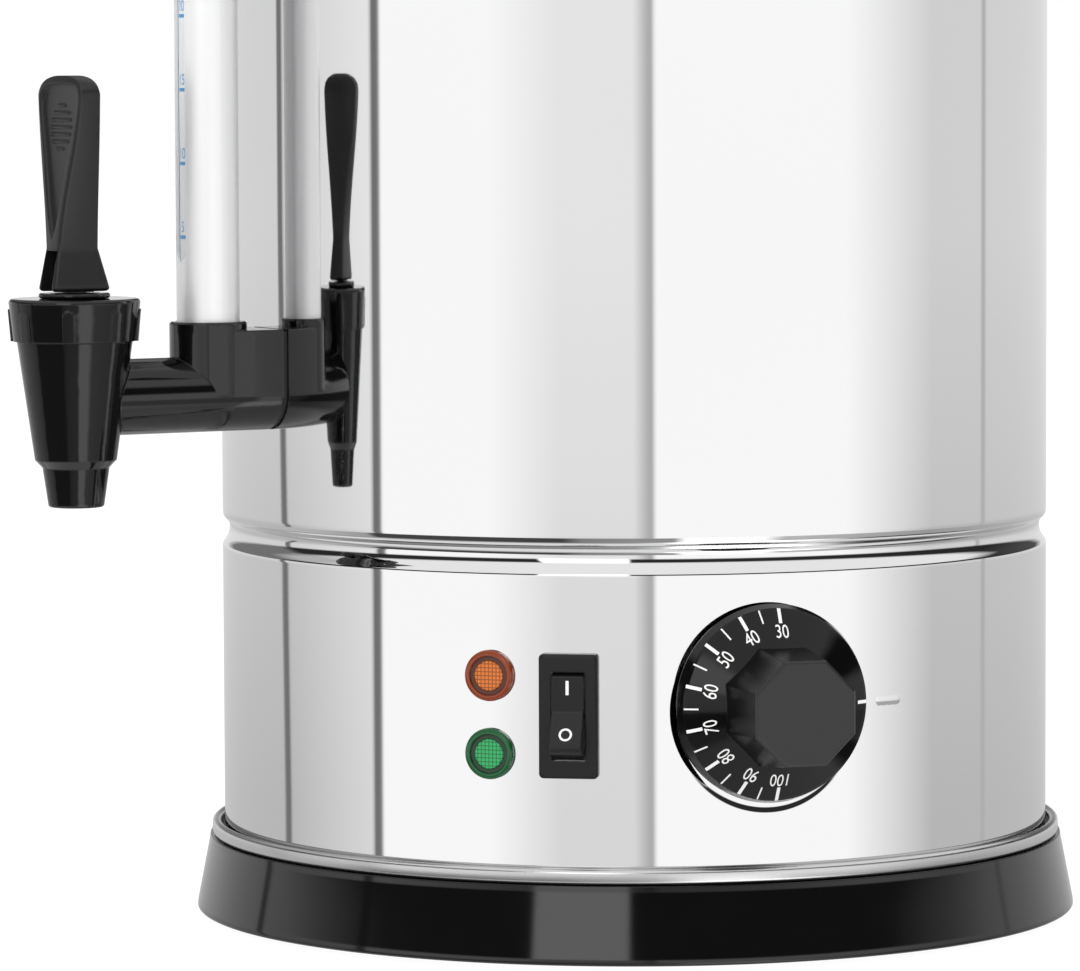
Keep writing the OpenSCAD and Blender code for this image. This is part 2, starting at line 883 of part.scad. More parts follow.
module green_lens() {
    color("green")
        lamp_lens(lamp_low_z);
}

module lamp_bodies() {
    color("black")
    for (z = [lamp_high_z, lamp_low_z])
        on_body(lamp_az, z) {
            translate([0, 0, -12])
                cylinder(h = 12 + lamp_front - free, d = lamp_bore_d - 0.1, $fn = 48);
            translate([0, 0, -24])
                cylinder(h = 24 - lamp_stem_l - seat, d = lamp_stem_d, $fn = 48);
            for (x = [-2, 2])
                translate([x - 0.4, -1.4, -30])
                    cube([0.8, 2.8, 7]);
        }
}

module lamp_nuts() {
    nut_r = lamp_hole_d / 2 + 2.2;
    z = -wall_depth(nut_r) - seat;
    color("white")
    for (height = [lamp_high_z, lamp_low_z])
        on_body(lamp_az, height)
            ring(nut_r, lamp_stem_d / 2 + 0.02, z - 2.5, 2.5);
}

// ---- Wiring points ----

module terminal_block() {
    l = 34;
    w = 18;
    h = 14;
    color("ivory")
    translate([-l / 2, inner_r - 46, plate_z + plate_t + seat])
        difference() {
            union() {
                cube([l, w, 6]);
                translate([0, 3, 5])
                    cube([l, w - 6, h - 5]);
            }
            for (x = [l / 6, l / 2, 5 * l / 6]) {
                translate([x, w / 2, 5])
                    cylinder(h = h, d = 4, $fn = 24);
                translate([x, -cut, 9])
                    rotate([-90, 0, 0])
                        cylinder(h = w + 2 * cut, d = 3, $fn = 24);
            }
        }
}

module inlet_gland() {
    color("black")
    on_body(180, inlet_z)
        difference() {
            union() {
                translate([0, 0, seat])
                    cylinder(h = 3, d = inlet_thread_d + 8, $fn = 6);
                translate([0, 0, 3])
                    cylinder(h = 6, d1 = inlet_thread_d + 3, d2 = inlet_thread_d - 1);
                translate([0, 0, -12])
                    cylinder(h = 13, d = inlet_thread_d);
            }
            translate([0, 0, -12 - cut])
                cylinder(h = 21 + 2 * cut, d = inlet_bore_d);
        }
}

module gland_nut() {
    r = inlet_thread_d / 2 + 3.5;
    z = -wall_depth(r) - seat;
    color("dimgray")
    on_body(180, inlet_z)
        difference() {
            translate([0, 0, z - 4])
                cylinder(h = 4, r = r, $fn = 6);
            translate([0, 0, z - 5])
                cylinder(h = 6, d = inlet_thread_d + 0.04);
        }
}

// ---- Tap arm ----

// The arm's cross-section at the gauge: a half round below, straight walls up to a height
module arm_outline(w, top) {
    translate([0, arm_z])
        circle(d = w);
    translate([-w / 2, arm_z])
        square([w, top - arm_z]);
}

// Extrudes a shape drawn in X and Z along Y, from y0 to y1
module along_y(y0, y1) {
    translate([0, y1, 0])
        rotate([90, 0, 0])
            linear_extrude(height = y1 - y0)
                children();
}

module tube_y(y0, y1, d, z) {
    translate([0, y1, z])
        rotate([90, 0, 0])
            cylinder(h = y1 - y0, d = d);
}

module tap_arm() {
    wall_r = body_r + gasket_t;
    color("black")
    difference() {
        union() {
            difference() {
                union() {
                    tube_y(tap_y, gauge_y, arm_d, arm_z);
                    along_y(gauge_y, -body_r + 4)
                        arm_outline(arm_d, block_top);
                    translate([0, gauge_y, arm_z])
                        cylinder(h = socket_top - arm_z - 0.5, d = socket_d);
                    translate([0, gauge_y, socket_top - 0.5])
                        cylinder(h = 0.5, d1 = socket_d, d2 = socket_d - 1);
                }
                wall_cylinder(wall_r);
                translate([0, tap_y, 0])
                    tap_cone(seat);
            }
            tube_y(-wall_r - 2, -shank_end, shank_d, arm_z);
        }
        tube_y(tap_y, -shank_end + cut, arm_bore_d, arm_z);
        tube_y(tap_y, tap_y + tap_low_d / 2 + spigot_l, spigot_d + 0.1, arm_z);
        translate([0, gauge_y, guard_low])
            cylinder(h = socket_top, d = guard_d + 2 * play);
        translate([0, gauge_y, guard_low - seal_h])
            cylinder(h = seal_h + cut, d = sight_d + 3);
        translate([0, gauge_y, arm_z])
            cylinder(h = 20, d = sight_d - 2 * sight_t);
    }
}

module arm_gasket() {
    color("dimgray")
    difference() {
        intersection() {
            along_y(-body_r - gasket_t - cut, -body_r + 4)
                arm_outline(arm_d - 1, block_top - 0.5);
            wall_cylinder(body_r + gasket_t - seat);
        }
        wall_cylinder(body_r + seat);
        tube_y(-body_r - 4, -body_r + 5, shank_d + 0.1, arm_z);
    }
}

module shank_washer() {
    color("white")
    difference() {
        intersection() {
            tube_y(-body_r, -inner_r + 1 + shank_washer_t, nut_af + 2, arm_z);
            wall_cylinder(inner_r - seat);
        }
        tube_y(-body_r - cut, -inner_r + 4 + shank_washer_t, shank_d + 0.1, arm_z);
    }
}

module shank_nut() {
    y0 = -inner_r + 1 + shank_washer_t + seat;
    color("silver")
    difference() {
        translate([0, y0 + nut_t, arm_z])
            rotate([90, 0, 0])
                cylinder(h = nut_t, r = nut_af / sqrt(3), $fn = 6);
        tube_y(y0 - cut, y0 + nut_t + cut, shank_d + 0.04, arm_z);
    }
}

// ---- Tap ----

// The cone of the tap's body, larger all round by a gap
module tap_cone(gap) {
    translate([0, 0, cone_z])
        cylinder(h = tap_cone_h, d1 = tap_low_d + 2 * gap, d2 = tap_top_d + 2 * gap);
    translate([0, 0, cap_z])
        cylinder(h = 20, d = cap_d + 2 * free);
}

module tap_body() {
    lip = 0.8;
    wall = 2.4;
    low_r = spout_low_d / 2;
    color("black")
    translate([0, tap_y, 0])
        difference() {
            union() {
                rotate_extrude()
                    polygon(concat(
                        [[0, spout_z]], arc(low_r - lip, spout_z + lip, lip, -90, 0, 4),
                        [[spout_top_d / 2, cone_z - shoulder_h], [tap_low_d / 2 - 0.4, cone_z - 0.4],
                         [tap_low_d / 2, cone_z], [tap_top_d / 2, cap_z - seat],
                         [neck_r, cap_z - seat], [neck_r, cap_z + neck_h], [0, cap_z + neck_h]]));
                tube_y(0, tap_low_d / 2 + spigot_l - seat, spigot_d, arm_z);
            }
            rotate_extrude()
                polygon([[0, seat_z], [tap_low_d / 2 - wall, seat_z], [neck_r - 2.2, cap_z - 2],
                    [neck_r - 2.2, cap_z + neck_h + cut], [0, cap_z + neck_h + cut]]);
            translate([0, 0, spout_z - cut])
                cylinder(h = seat_z - spout_z + 2 * cut, d = spout_bore_d);
            tube_y(0, tap_low_d + spigot_l, arm_bore_d, arm_z);
        }
}

module tap_cap() {
    draft = 1.05;
    top_r = cap_d / 2;
    edge = 1;
    rib_w = 3;
    rib_top = cap_h - 2.7 - rib_w / 2;
    rib_phase = 14.2;
    color("black")
    translate([0, tap_y, 0])
        difference() {
            union() {
                rotate_extrude()
                    polygon(concat([[0, cap_z], [top_r - draft, cap_z]],
                        arc(top_r - edge, cap_top - edge, edge, 0, 90, 5), [[0, cap_top]]));
                intersection() {
                    for (i = [0:cap_ribs - 1])
                        rotate([0, 0, rib_phase + i * 360 / cap_ribs])
                            translate([0, 6 - top_r, cap_z])
                                rotate([90, 0, 0])
                                    linear_extrude(height = 8) {
                                        translate([-rib_w / 2, 0])
                                            square([rib_w, rib_top]);
                                        translate([0, rib_top])
                                            circle(d = rib_w, $fn = 32);
                                    }
                    translate([0, 0, cap_z])
                        cylinder(h = cap_h, r1 = top_r - draft + 0.55, r2 = top_r + 0.45);
                }
            }
            translate([0, 0, cap_z - cut])
                cylinder(h = cap_h - cap_plate + cut, r = neck_r + seat);
            translate([0, 0, cap_z])
                cylinder(h = cap_h + cut, d = guide_d - 6);
        }
}

module cap_seal() {
    color("dimgray")
    translate([0, tap_y, 0])
        ring(neck_r - 0.3, guide_root_r + 0.02, cap_z + neck_h, cap_h - cap_plate - neck_h - seat);
}

module stem_guide() {
    r = guide_d / 2;
    root_r = guide_root_r;
    bead = guide_h / 2 - 0.05;
    color("black")
    translate([0, tap_y, 0])
        difference() {
            rotate_extrude()
                polygon(concat(
                    [[0, spring_top], [root_r, spring_top], [root_r, cap_top + seat],
                     [r - bead, cap_top + seat]],
                    arc(r - bead, cap_top + seat + bead, bead, -90, 90, 8),
                    [[r - 2.4, cap_top + 2 * bead + seat], [r - 2.8, guide_top], [0, guide_top]]));
            translate([0, 0, spring_top - cut])
                cylinder(h = guide_top, r = stem_d / 2 + run, $fn = 64);
        }
}

module valve_stem() {
    head_r = 4;
    color("dimgray")
    translate([0, tap_y, 0]) {
        translate([0, 0, seat_z + 1])
            cylinder(h = guide_top + 0.1 - seat_z - 1, d = stem_d, $fn = 64);
        translate([0, 0, spring_low - flange_t])
            cylinder(h = flange_t - seat, r = spring_r + 1.4);
        translate([-tongue_w / 2, -head_r, guide_top + 0.1])
            cube([tongue_w, 2 * head_r, pivot_z - guide_top]);
        translate([-tongue_w / 2, 0, pivot_z])
            rotate([0, 90, 0])
                cylinder(h = tongue_w, r = head_r);
        translate([-cross_pin_l / 2, 0, pivot_z])
            rotate([0, 90, 0])
                cylinder(h = cross_pin_l, d = cross_pin_d, $fn = 48);
    }
}

module seat_cup() {
    color("white")
    translate([0, tap_y, 0])
        difference() {
            rotate_extrude()
                polygon([[0, seat_z - 1.2], [seat_r - 1.2, seat_z - 1.2],
                    [seat_r - 0.4, seat_z + seat], [cup_r, seat_z + seat],
                    [cup_r, seat_z + 1.2], [stem_d / 2 + 1.4, seat_z + cup_h], [0, seat_z + cup_h]]);
            translate([0, 0, seat_z + 1 - seat])
                cylinder(h = cup_h, r = stem_d / 2 + 0.02, $fn = 64);
        }
}

module valve_spring() {
    turns = 5;
    h = spring_top - spring_low - 2 * seat - wire_d;
    spread = turns * 360 / h * wire_d / 2;
    color("silver")
    translate([0, tap_y, spring_low + seat + wire_d / 2])
        linear_extrude(height = h, twist = -360 * turns, slices = 20 * turns, $fn = 12)
            polygon([for (a = [0:30:330]) let (r = spring_r + wire_d / 2 * cos(a))
                [r * cos(-spread * sin(a)), r * sin(-spread * sin(a))]]);
}

// The lever's outline at a height: half its width, its depth to the front and to the back
module lever_slice(h, half_w, front, back, r) {
    translate([0, 0, lever_z + h])
        linear_extrude(height = 0.1)
            for (x = [r - half_w, half_w - r])
                for (y = [r - front, back - r])
                    translate([x, y])
                        circle(r = r, $fn = 24);
}

// The blade's outline, at a share of the way from the waist up to the shoulder
module blade_slice(u) {
    v = (u + 0.5 - 0.5 * cos(180 * u)) / 2;
    lever_slice(waist_h + (blade_top_h - waist_h) * u, waist_w + (lever_w / 2 - waist_w) * v,
        waist_front + (blade_front - waist_front) * v, waist_back + (blade_back - waist_back) * v,
        1.2 - 0.4 * v);
}

module tap_lever() {
    foot_front = fork_t / 2;
    slot_x = tongue_w + 2 * free;
    front_tilt = atan((waist_front - blade_front) / (blade_top_h - waist_h));
    panel_depth = 1.2;
    ridge_step = 1.82;
    ridge_l = 12.3;
    color("dimgray")
    translate([0, tap_y, 0])
        difference() {
            union() {
                hull() {
                    lever_slice(0, fork_w / 2 - 0.8, foot_front - 0.8, foot_front - 0.8, 0.8);
                    lever_slice(0.9, fork_w / 2, foot_front, foot_front, 1.2);
                    blade_slice(0);
                }
                for (u = [0:0.25:0.75])
                    hull() {
                        blade_slice(u);
                        blade_slice(u + 0.25);
                    }
                hull() {
                    blade_slice(1);
                    lever_slice(lever_h - 2.8, lever_w / 2 - 0.9, blade_front, blade_back, 0.8);
                    lever_slice(lever_h - 1.2, lever_w / 2 - 2.7, blade_front - 0.3,
                        blade_back - 0.2, 0.8);
                    lever_slice(lever_h - 0.1, lever_w / 4, blade_front - 0.9, blade_back - 0.6,
                        0.8);
                }
            }
            // the fork's slot, open to the front and below
            translate([-slot_x / 2, -fork_t, lever_z - cut])
                cube([slot_x, fork_t + 4 + free, pivot_h + cut]);
            translate([-slot_x / 2, 0, pivot_z])
                rotate([0, 90, 0])
                    cylinder(h = slot_x, r = 4 + free);
            translate([-slot_x / 2, -fork_t, pivot_z - cut])
                cube([slot_x, fork_t, 4 + free + cut]);
            translate([-cross_pin_l / 2 - 0.2, 0, pivot_z])
                rotate([0, 90, 0])
                    cylinder(h = cross_pin_l + 0.4, d = cross_pin_d + 2 * run, $fn = 48);
            // the thumb panel, sunk into the front, with its grip ridges
            translate([0, -waist_front, lever_z + waist_h])
                rotate([90 - front_tilt, 0, 0])
                    difference() {
                        translate([0, panel_mid, -panel_depth])
                            linear_extrude(height = 2 * panel_depth, scale = [1.2, 1.08],
                                slices = 1)
                                thumb_panel();
                        for (i = [-3:3])
                            let (l = ridge_l * sqrt(1 - i * i / 10.6))
                                translate([-l / 2, lever_h - waist_h - 12.9 + ridge_step * i,
                                    -panel_depth])
                                    rotate([0, 90, 0])
                                        cylinder(h = l, r = 0.45, $fn = 24);
                    }
        }
}

// The drop-shaped outline of the lever's thumb panel: its point is below, the origin mid-way
module thumb_panel() {
    top = lever_h - waist_h - panel_mid - 2.6;
    wide = lever_w / 2 - 2;
    side = [[0, 2.6 - panel_mid], [wide * 0.2, 6 - panel_mid], [wide * 0.42, 13 - panel_mid],
        [wide * 0.62, 20 - panel_mid], [wide * 0.84, 27 - panel_mid], [wide * 0.97, top - 7],
        [wide, top - 4.5], [wide * 0.95, top - 2.6], [wide * 0.8, top - 1.1],
        [wide * 0.58, top - 0.3], [wide * 0.36, top]];
    polygon(concat(side, [for (i = [len(side) - 1:-1:1]) [-side[i][0], side[i][1]]]));
}

// ---- Level gauge ----

module guard_tube() {
    low = slot_low + slot_w / 2;
    color("silver")
    translate([0, gauge_y, 0])
        difference() {
            ring(guard_d / 2, guard_d / 2 - guard_t, guard_low + seat, guard_top - guard_low);
            translate([-slot_w / 2, -guard_d, low])
                cube([slot_w, guard_d, slot_top - low]);
            for (z = [low, slot_top])
                tube_y(-guard_d, 0, slot_w, z);
        }
}

module sight_tube() {
    color("lightblue", 0.4)
    translate([0, gauge_y, 0])
        ring(sight_d / 2, sight_d / 2 - sight_t, guard_low - seal_h + seat,
            sight_top - guard_low + seal_h - 2 * seat);
}

module gauge_low_seal() {
    color("dimgray")
    translate([0, gauge_y, 0])
        ring(sight_d / 2 + 1.5 - 0.05, sight_d / 2 + 0.02, guard_low - seal_h + seat, seal_h - seat);
}

module gauge_top_seal() {
    color("dimgray")
    translate([0, gauge_y, 0])
        ring(sight_d / 2 + 1.5 - 0.05, sight_d / 2 + 0.02, guard_top + 2 * seat, seal_h);
}

holder_z = guard_top - 1;

module gauge_holder() {
    low = guard_top - socket_depth;
    wall_r = body_r + seat;
    color("black")
    difference() {
        union() {
            translate([0, gauge_y, low])
                cylinder(h = holder_top - low - 2, d = socket_d);
            translate([0, gauge_y, holder_top - 2])
                cylinder(h = 2, d1 = socket_d, d2 = socket_d - 4);
            tube_y(gauge_y, -body_r + 2, holder_arm_d, holder_z);
            tube_y(-body_r - 3, -body_r + 2, holder_arm_d + 5, holder_z);
        }
        wall_cylinder(wall_r);
        translate([0, gauge_y, low - cut])
            cylinder(h = socket_depth + cut + seat, d = guard_d + 2 * play);
        translate([0, gauge_y, guard_top])
            cylinder(h = sight_top - guard_top, d = sight_d + 3);
        translate([0, gauge_y, sight_top - cut])
            cylinder(h = 20, d = 2, $fn = 24);
        tube_y(gauge_y + guard_d / 2 + 2, -body_r + cut, screw_d + 0.1, holder_z);
    }
}

module holder_screw() {
    color("gray")
    inside_screw(0, holder_z, shell_t + gauge_reach - guard_d / 2 - 4);
}

// A screw from inside the vessel: its head lies against the wall, its shank points outwards
module inside_screw(az, z, l) {
    on_body(az, z)
        translate([0, 0, -wall_depth(screw_head_d / 2) - seat])
            rotate([180, 0, 0])
                screw(l);
}

// ---- Handles ----

// A handle on the +X side, drawn in the body's local frame of that side
module handle(side) {
    bar_z = handle_reach;
    foot_z = -(body_r - sqrt(body_r * body_r - leg_x * leg_x)) - 8;
    pad_h = 7;
    color("black")
    difference() {
        on_body(side, handle_z)
            for (s = [0, 1])
                mirror([s, 0, 0]) {
                    translate([-cut / 2, 0, bar_z])
                        rotate([0, 90, 0])
                            cylinder(h = leg_x - grip_bend + cut / 2, d = grip_d, $fn = 48);
                    translate([leg_x - grip_bend, 0, bar_z - grip_bend])
                        rotate([90, 0, 0])
                            rotate_extrude(angle = 90, $fn = 64)
                                translate([grip_bend, 0])
                                    circle(d = grip_d, $fn = 48);
                    translate([leg_x, 0, foot_z])
                        cylinder(h = bar_z - grip_bend - foot_z, d = grip_d, $fn = 48);
                    translate([leg_x, 0, foot_z])
                        cylinder(h = pad_h + 8, d1 = grip_d + 12, d2 = grip_d, $fn = 48);
                }
        wall_cylinder(body_r + seat);
        for (s = [-1, 1])
            on_body(side + s * leg_az, handle_z)
                translate([0, 0, -cut])
                    cylinder(h = 12 + cut, d = screw_d + 0.1, $fn = 32);
    }
}

module left_handle() {
    handle(-90);
}

module right_handle() {
    handle(90);
}

washer_t = 1.2;

module handle_screws() {
    color("gray")
    for (side = [-90, 90])
        for (s = [-1, 1])
            on_body(side + s * leg_az, handle_z)
                translate([0, 0, -shell_t - washer_t - 2 * seat - 0.1])
                    rotate([180, 0, 0])
                        screw(12);
}

module handle_washers() {
    color("white")
    for (side = [-90, 90])
        for (s = [-1, 1])
            on_body(side + s * leg_az, handle_z)
                ring(screw_head_d / 2 + 1, screw_d / 2 + 0.05, -shell_t - washer_t - seat - 0.1, washer_t);
}

// ---- Lid ----

module lid_cover() {
    r = lid_skirt_r;
    rise = lid_rise - lid_t;
    top = rim_z + 2 * seat;
    hem = lid_t + 0.4;
    dome = [for (i = [0:12]) let (u = i / 12)
        [r - 3 - (r - 3 - lid_crown_r) * u, top + rise * sin(90 * u)]];
    color("silver")
    difference() {
        rotate_extrude()
            polygon(concat(
                [[r - lid_t, rim_z - lid_skirt], [r - lid_t, top - 0.3]], dome,
                [[0, top + rise], [0, top + rise + lid_t]],
                [for (i = [12:-1:0]) dome[i] + [0.2, lid_t]], [[r, top + lid_t]],
                arc(lid_flange_r, top + lid_t - hem, hem, 90, -90, 8),
                [[lid_flange_r - 0.8, top + lid_t - 2 * hem], [lid_flange_r - 0.8, top], [r, top],
                 [r, rim_z - lid_skirt]]));
        translate([0, 0, top])
            cylinder(h = lid_rise + cut, d = screw_d + 2 * play, $fn = 32);
        translate([0, body_r * 0.62, top - cut])
            cylinder(h = lid_rise + 4 * cut, d = 4, $fn = 32);
    }
}

lid_top = rim_z + 2 * seat + lid_rise;

module lid_knob() {
    r = lid_knob_d / 2;
    z = lid_top + seat;
    color("black")
    difference() {
        rotate_extrude()
            polygon(concat(
                [[0, z], [13, z], [12, z + 4], [9, z + 9], [9, z + 12], [r - 3, z + lid_knob_h - 11]],
                arc(r - 2.5, z + lid_knob_h - 8.5, 2.5, -60, 40, 5),
                arc(0, z + lid_knob_h - 3 * r, 3 * r, 74, 90, 6)));
        translate([0, 0, z - cut])
            cylinder(h = 16 + cut, d = screw_d + 0.1, $fn = 32);
    }
}

module lid_washer() {
    color("gray")
        ring(8, screw_d / 2 + 0.05, lid_top - lid_t - seat - 1, 1);
}

module lid_screw() {
    color("gray")
    translate([0, 0, lid_top - lid_t - 2 * seat - 1])
        rotate([180, 0, 0])
            screw(14);
}

foot_skirt();
bottom_plate();
rubber_ring();
foot_screws();
edge_tray();
body_shell();
vessel_floor();
heat_spreader();
heating_element();
safety_cutout();
cutout_bracket();
bracket_screws();
reset_button();
thermostat_body();
thermostat_screws();
capillary_bulb();
thermostat_spindle();
thermostat_knob();
switch_housing();
switch_terminals();
switch_rocker();
amber_lens();
green_lens();
lamp_bodies();
lamp_nuts();
terminal_block();
inlet_gland();
gland_nut();
tap_arm();
arm_gasket();
shank_washer();
shank_nut();
tap_body();
tap_cap();
cap_seal();
stem_guide();
valve_stem();
seat_cup();
valve_spring();
tap_lever();
guard_tube();
sight_tube();
gauge_low_seal();
gauge_top_seal();
gauge_holder();
holder_screw();
left_handle();
right_handle();
handle_screws();
handle_washers();
lid_cover();
lid_knob();
lid_screw();
lid_washer();
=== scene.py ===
import math

import bmesh
import bpy
from mathutils import Matrix, Vector


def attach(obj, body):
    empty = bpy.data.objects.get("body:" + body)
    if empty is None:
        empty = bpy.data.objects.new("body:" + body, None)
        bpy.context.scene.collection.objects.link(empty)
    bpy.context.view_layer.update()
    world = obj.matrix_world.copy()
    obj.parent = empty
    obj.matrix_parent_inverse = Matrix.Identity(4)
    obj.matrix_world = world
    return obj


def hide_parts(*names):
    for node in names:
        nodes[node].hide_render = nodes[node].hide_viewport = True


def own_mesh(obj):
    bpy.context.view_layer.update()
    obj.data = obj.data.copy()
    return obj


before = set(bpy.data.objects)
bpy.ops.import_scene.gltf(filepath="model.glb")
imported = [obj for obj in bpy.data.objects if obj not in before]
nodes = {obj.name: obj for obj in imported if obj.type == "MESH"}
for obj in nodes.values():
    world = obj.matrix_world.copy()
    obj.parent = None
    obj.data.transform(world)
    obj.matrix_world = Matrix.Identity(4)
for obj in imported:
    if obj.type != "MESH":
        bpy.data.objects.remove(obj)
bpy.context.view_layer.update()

# ---- Camera, floor and light ----
# A long lens stands level with the lower body, a sixth of a turn from the tap. The floor is white
# paper. The studio is a wall of light panels and dark posts around the urn, in five bands by height,
# and three soft lamps light what is matt.
view_turn = math.radians(59.2)
yaw, pitch, roll = math.radians(-0.9093), math.radians(4.1566), math.radians(-0.2248)
right = Vector((math.cos(yaw), -math.sin(yaw), 0))
ahead = Vector((math.sin(yaw) * math.cos(pitch), math.cos(yaw) * math.cos(pitch), -math.sin(pitch)))
up = right.cross(ahead)
across = math.cos(roll) * right + math.sin(roll) * up
upward = -math.sin(roll) * right + math.cos(roll) * up
camera_data = bpy.data.cameras.new("camera")
camera_data.lens = 197.674
camera_data.sensor_width = 36
camera_data.clip_start = 0.05
camera_data.clip_end = 30
camera = bpy.data.objects.new("camera", camera_data)
bpy.context.scene.collection.objects.link(camera)
place = Matrix.Translation((0, -1.584, 0.2286))
turn = Matrix((across, upward, -ahead)).transposed().to_4x4()
camera.matrix_world = Matrix.Rotation(view_turn, 4, "Z") @ place @ turn
bpy.context.scene.camera = camera
bpy.context.scene.view_settings.view_transform = "Standard"


def link(tree, a, b):
    """Joins an output to an input."""
    tree.links.new(a, b)


def node(tree, kind, **values):
    """A shader node with its settings; names that are sockets are set as inputs."""
    made = tree.nodes.new("ShaderNode" + kind)
    for name, value in values.items():
        if hasattr(made, name):
            setattr(made, name, value)
        else:
            made.inputs[name.replace("_", " ")].default_value = value
    return made


def ramp(tree, stops, fac):
    """A grey ramp from (position, value) pairs, fed by a value."""
    made = tree.nodes.new("ShaderNodeValToRGB")
    line = made.color_ramp
    while len(line.elements) < len(stops):
        line.elements.new(0.5)
    for element, (spot, grey) in zip(line.elements, sorted(stops)):
        element.position = spot
        element.color = (grey, grey, grey, 1)
    link(tree, fac, made.inputs["Fac"])
    return made


def blend(tree, low, high, value, first, second):
    """Mixes two colours as a value goes from low to high."""
    share = node(tree, "MapRange", From_Min=low, From_Max=high)
    link(tree, value, share.inputs["Value"])
    mixed = node(tree, "Mix", data_type="RGBA")
    link(tree, share.outputs["Result"], mixed.inputs["Factor"])
    link(tree, first, mixed.inputs["A"])
    link(tree, second, mixed.inputs["B"])
    return mixed.outputs["Result"]


world = bpy.data.worlds.new("studio")
bpy.context.scene.world = world
world.use_nodes = True
sky = world.node_tree
sky.nodes.clear()
direction = node(sky, "TexCoord")
swing = node(sky, "VectorRotate", rotation_type="Z_AXIS")
swing.inputs["Angle"].default_value = math.radians(90) - view_turn
link(sky, direction.outputs["Generated"], swing.inputs["Vector"])
parts = node(sky, "SeparateXYZ")
link(sky, swing.outputs["Vector"], parts.inputs["Vector"])
azimuth = node(sky, "Math", operation="ARCTAN2")
link(sky, parts.outputs["Y"], azimuth.inputs[0])
link(sky, parts.outputs["X"], azimuth.inputs[1])
unit = node(sky, "Math", operation="MULTIPLY_ADD")
unit.inputs[1].default_value = 1 / math.pi
unit.inputs[2].default_value = 0.0
link(sky, azimuth.outputs[0], unit.inputs[0])
unit_left = node(sky, "Math", operation="ADD")
unit_left.inputs[1].default_value = 1.0
link(sky, unit.outputs[0], unit_left.inputs[0])
height = node(sky, "Math", operation="ARCSINE")
link(sky, parts.outputs["Z"], height.inputs[0])
degrees = node(sky, "Math", operation="MULTIPLY")
degrees.inputs[1].default_value = 180 / math.pi
link(sky, height.outputs[0], degrees.inputs[0])
level = degrees.outputs[0]
# the dark post on the far left leans by two and a half degrees over the height of the walls' band
wall_low, wall_high = -7.2, -1.7
post = ramp(sky, [(0.0, 0), (0.342, 0), (0.36, 1), (0.40, 1), (0.417, 0), (1.0, 0)],
            unit_left.outputs[0])
slant = node(sky, "MapRange", From_Min=wall_low, From_Max=wall_high, To_Max=2.5 / 180)
link(sky, level, slant.inputs["Value"])
leaning = node(sky, "Math", operation="MULTIPLY_ADD")
link(sky, post.outputs["Color"], leaning.inputs[0])
link(sky, slant.outputs["Result"], leaning.inputs[1])
link(sky, unit_left.outputs[0], leaning.inputs[2])


def around(left, right, gain=1.0):
    """A band of light around the urn: (degrees, value) from behind to the camera on its left, then
    from the camera to behind on its right. The gain lets values go above 1."""
    one = ramp(sky, [((spot + 180) / 180, value / gain) for spot, value in left], leaning.outputs[0])
    two = ramp(sky, [(spot / 180, value / gain) for spot, value in right], unit.outputs[0])
    both = blend(sky, -0.0005, 0.0005, azimuth.outputs[0], one.outputs["Color"], two.outputs["Color"])
    if gain == 1.0:
        return both
    scaled = node(sky, "Mix", data_type="RGBA", blend_type="MULTIPLY")
    scaled.inputs["Factor"].default_value = 1.0
    scaled.inputs["B"].default_value = (gain, gain, gain, 1)
    link(sky, both, scaled.inputs["A"])
    return scaled.outputs["Result"]


steel_shine, studio_strength = 0.735, 1.4


def walls(side, front):
    """The studio's walls: a panel of light on either side of the camera, and thin dark stands. The
    walls behind the panels have one level of light, the part between the panels another."""
    panel, stand, edge = 0.9, 0.15, 0.4
    return around(
        [(-180, side), (-114, side), (-113, stand), (-111, stand), (-110, side), (-77, front),
         (-76, stand), (-74, stand), (-73, panel), (-40, panel), (-20, front), (0, front)],
        [(0, front), (4, edge), (5, edge), (6, panel), (60, panel), (90, side), (111, side),
         (112, edge), (113, edge), (114, side), (180, side)])


upper_band = walls(0.6, 0.75)
lower_band = walls(0.45, 0.65)
wall_band = blend(sky, wall_low, wall_high, level, lower_band, upper_band)
table_band = around(
    [(-180, 0.5), (-96, 0.4), (-80, 0.30), (-77, 0.05), (-20, 0.05), (-14, 0.20), (0, 0.25)],
    [(0, 0.25), (11, 0.25), (15, 1.2), (34, 1.2), (42, 0.45), (90, 0.30), (180, 0.5)], 2.0)
front_band = around(
    [(-180, 0.4), (-90, 0.28), (-12, 0.28), (0, 0.35)],
    [(0, 0.35), (8, 0.7), (14, 1.9), (44, 2.0), (66, 0.3), (74, 0.05), (110, 0.05), (125, 0.4),
     (180, 0.4)], 2.0)
high_band = around(
    [(-180, 0.15), (-120, 0.15), (-110, 0.02), (-27, 0.02), (-26, 1.8), (-2, 1.8), (-1, 0.02),
     (0, 0.02)],
    [(0, 0.02), (120, 0.02), (180, 0.1)], 2.0)
top_band = around([(-180, 0.4), (-110, 0.4), (-90, 0.75), (0, 0.75)],
                  [(0, 0.75), (120, 0.75), (180, 0.4)])
paper_tone = node(sky, "RGB")
paper_tone.outputs[0].default_value = (0.66, 0.66, 0.66, 1)
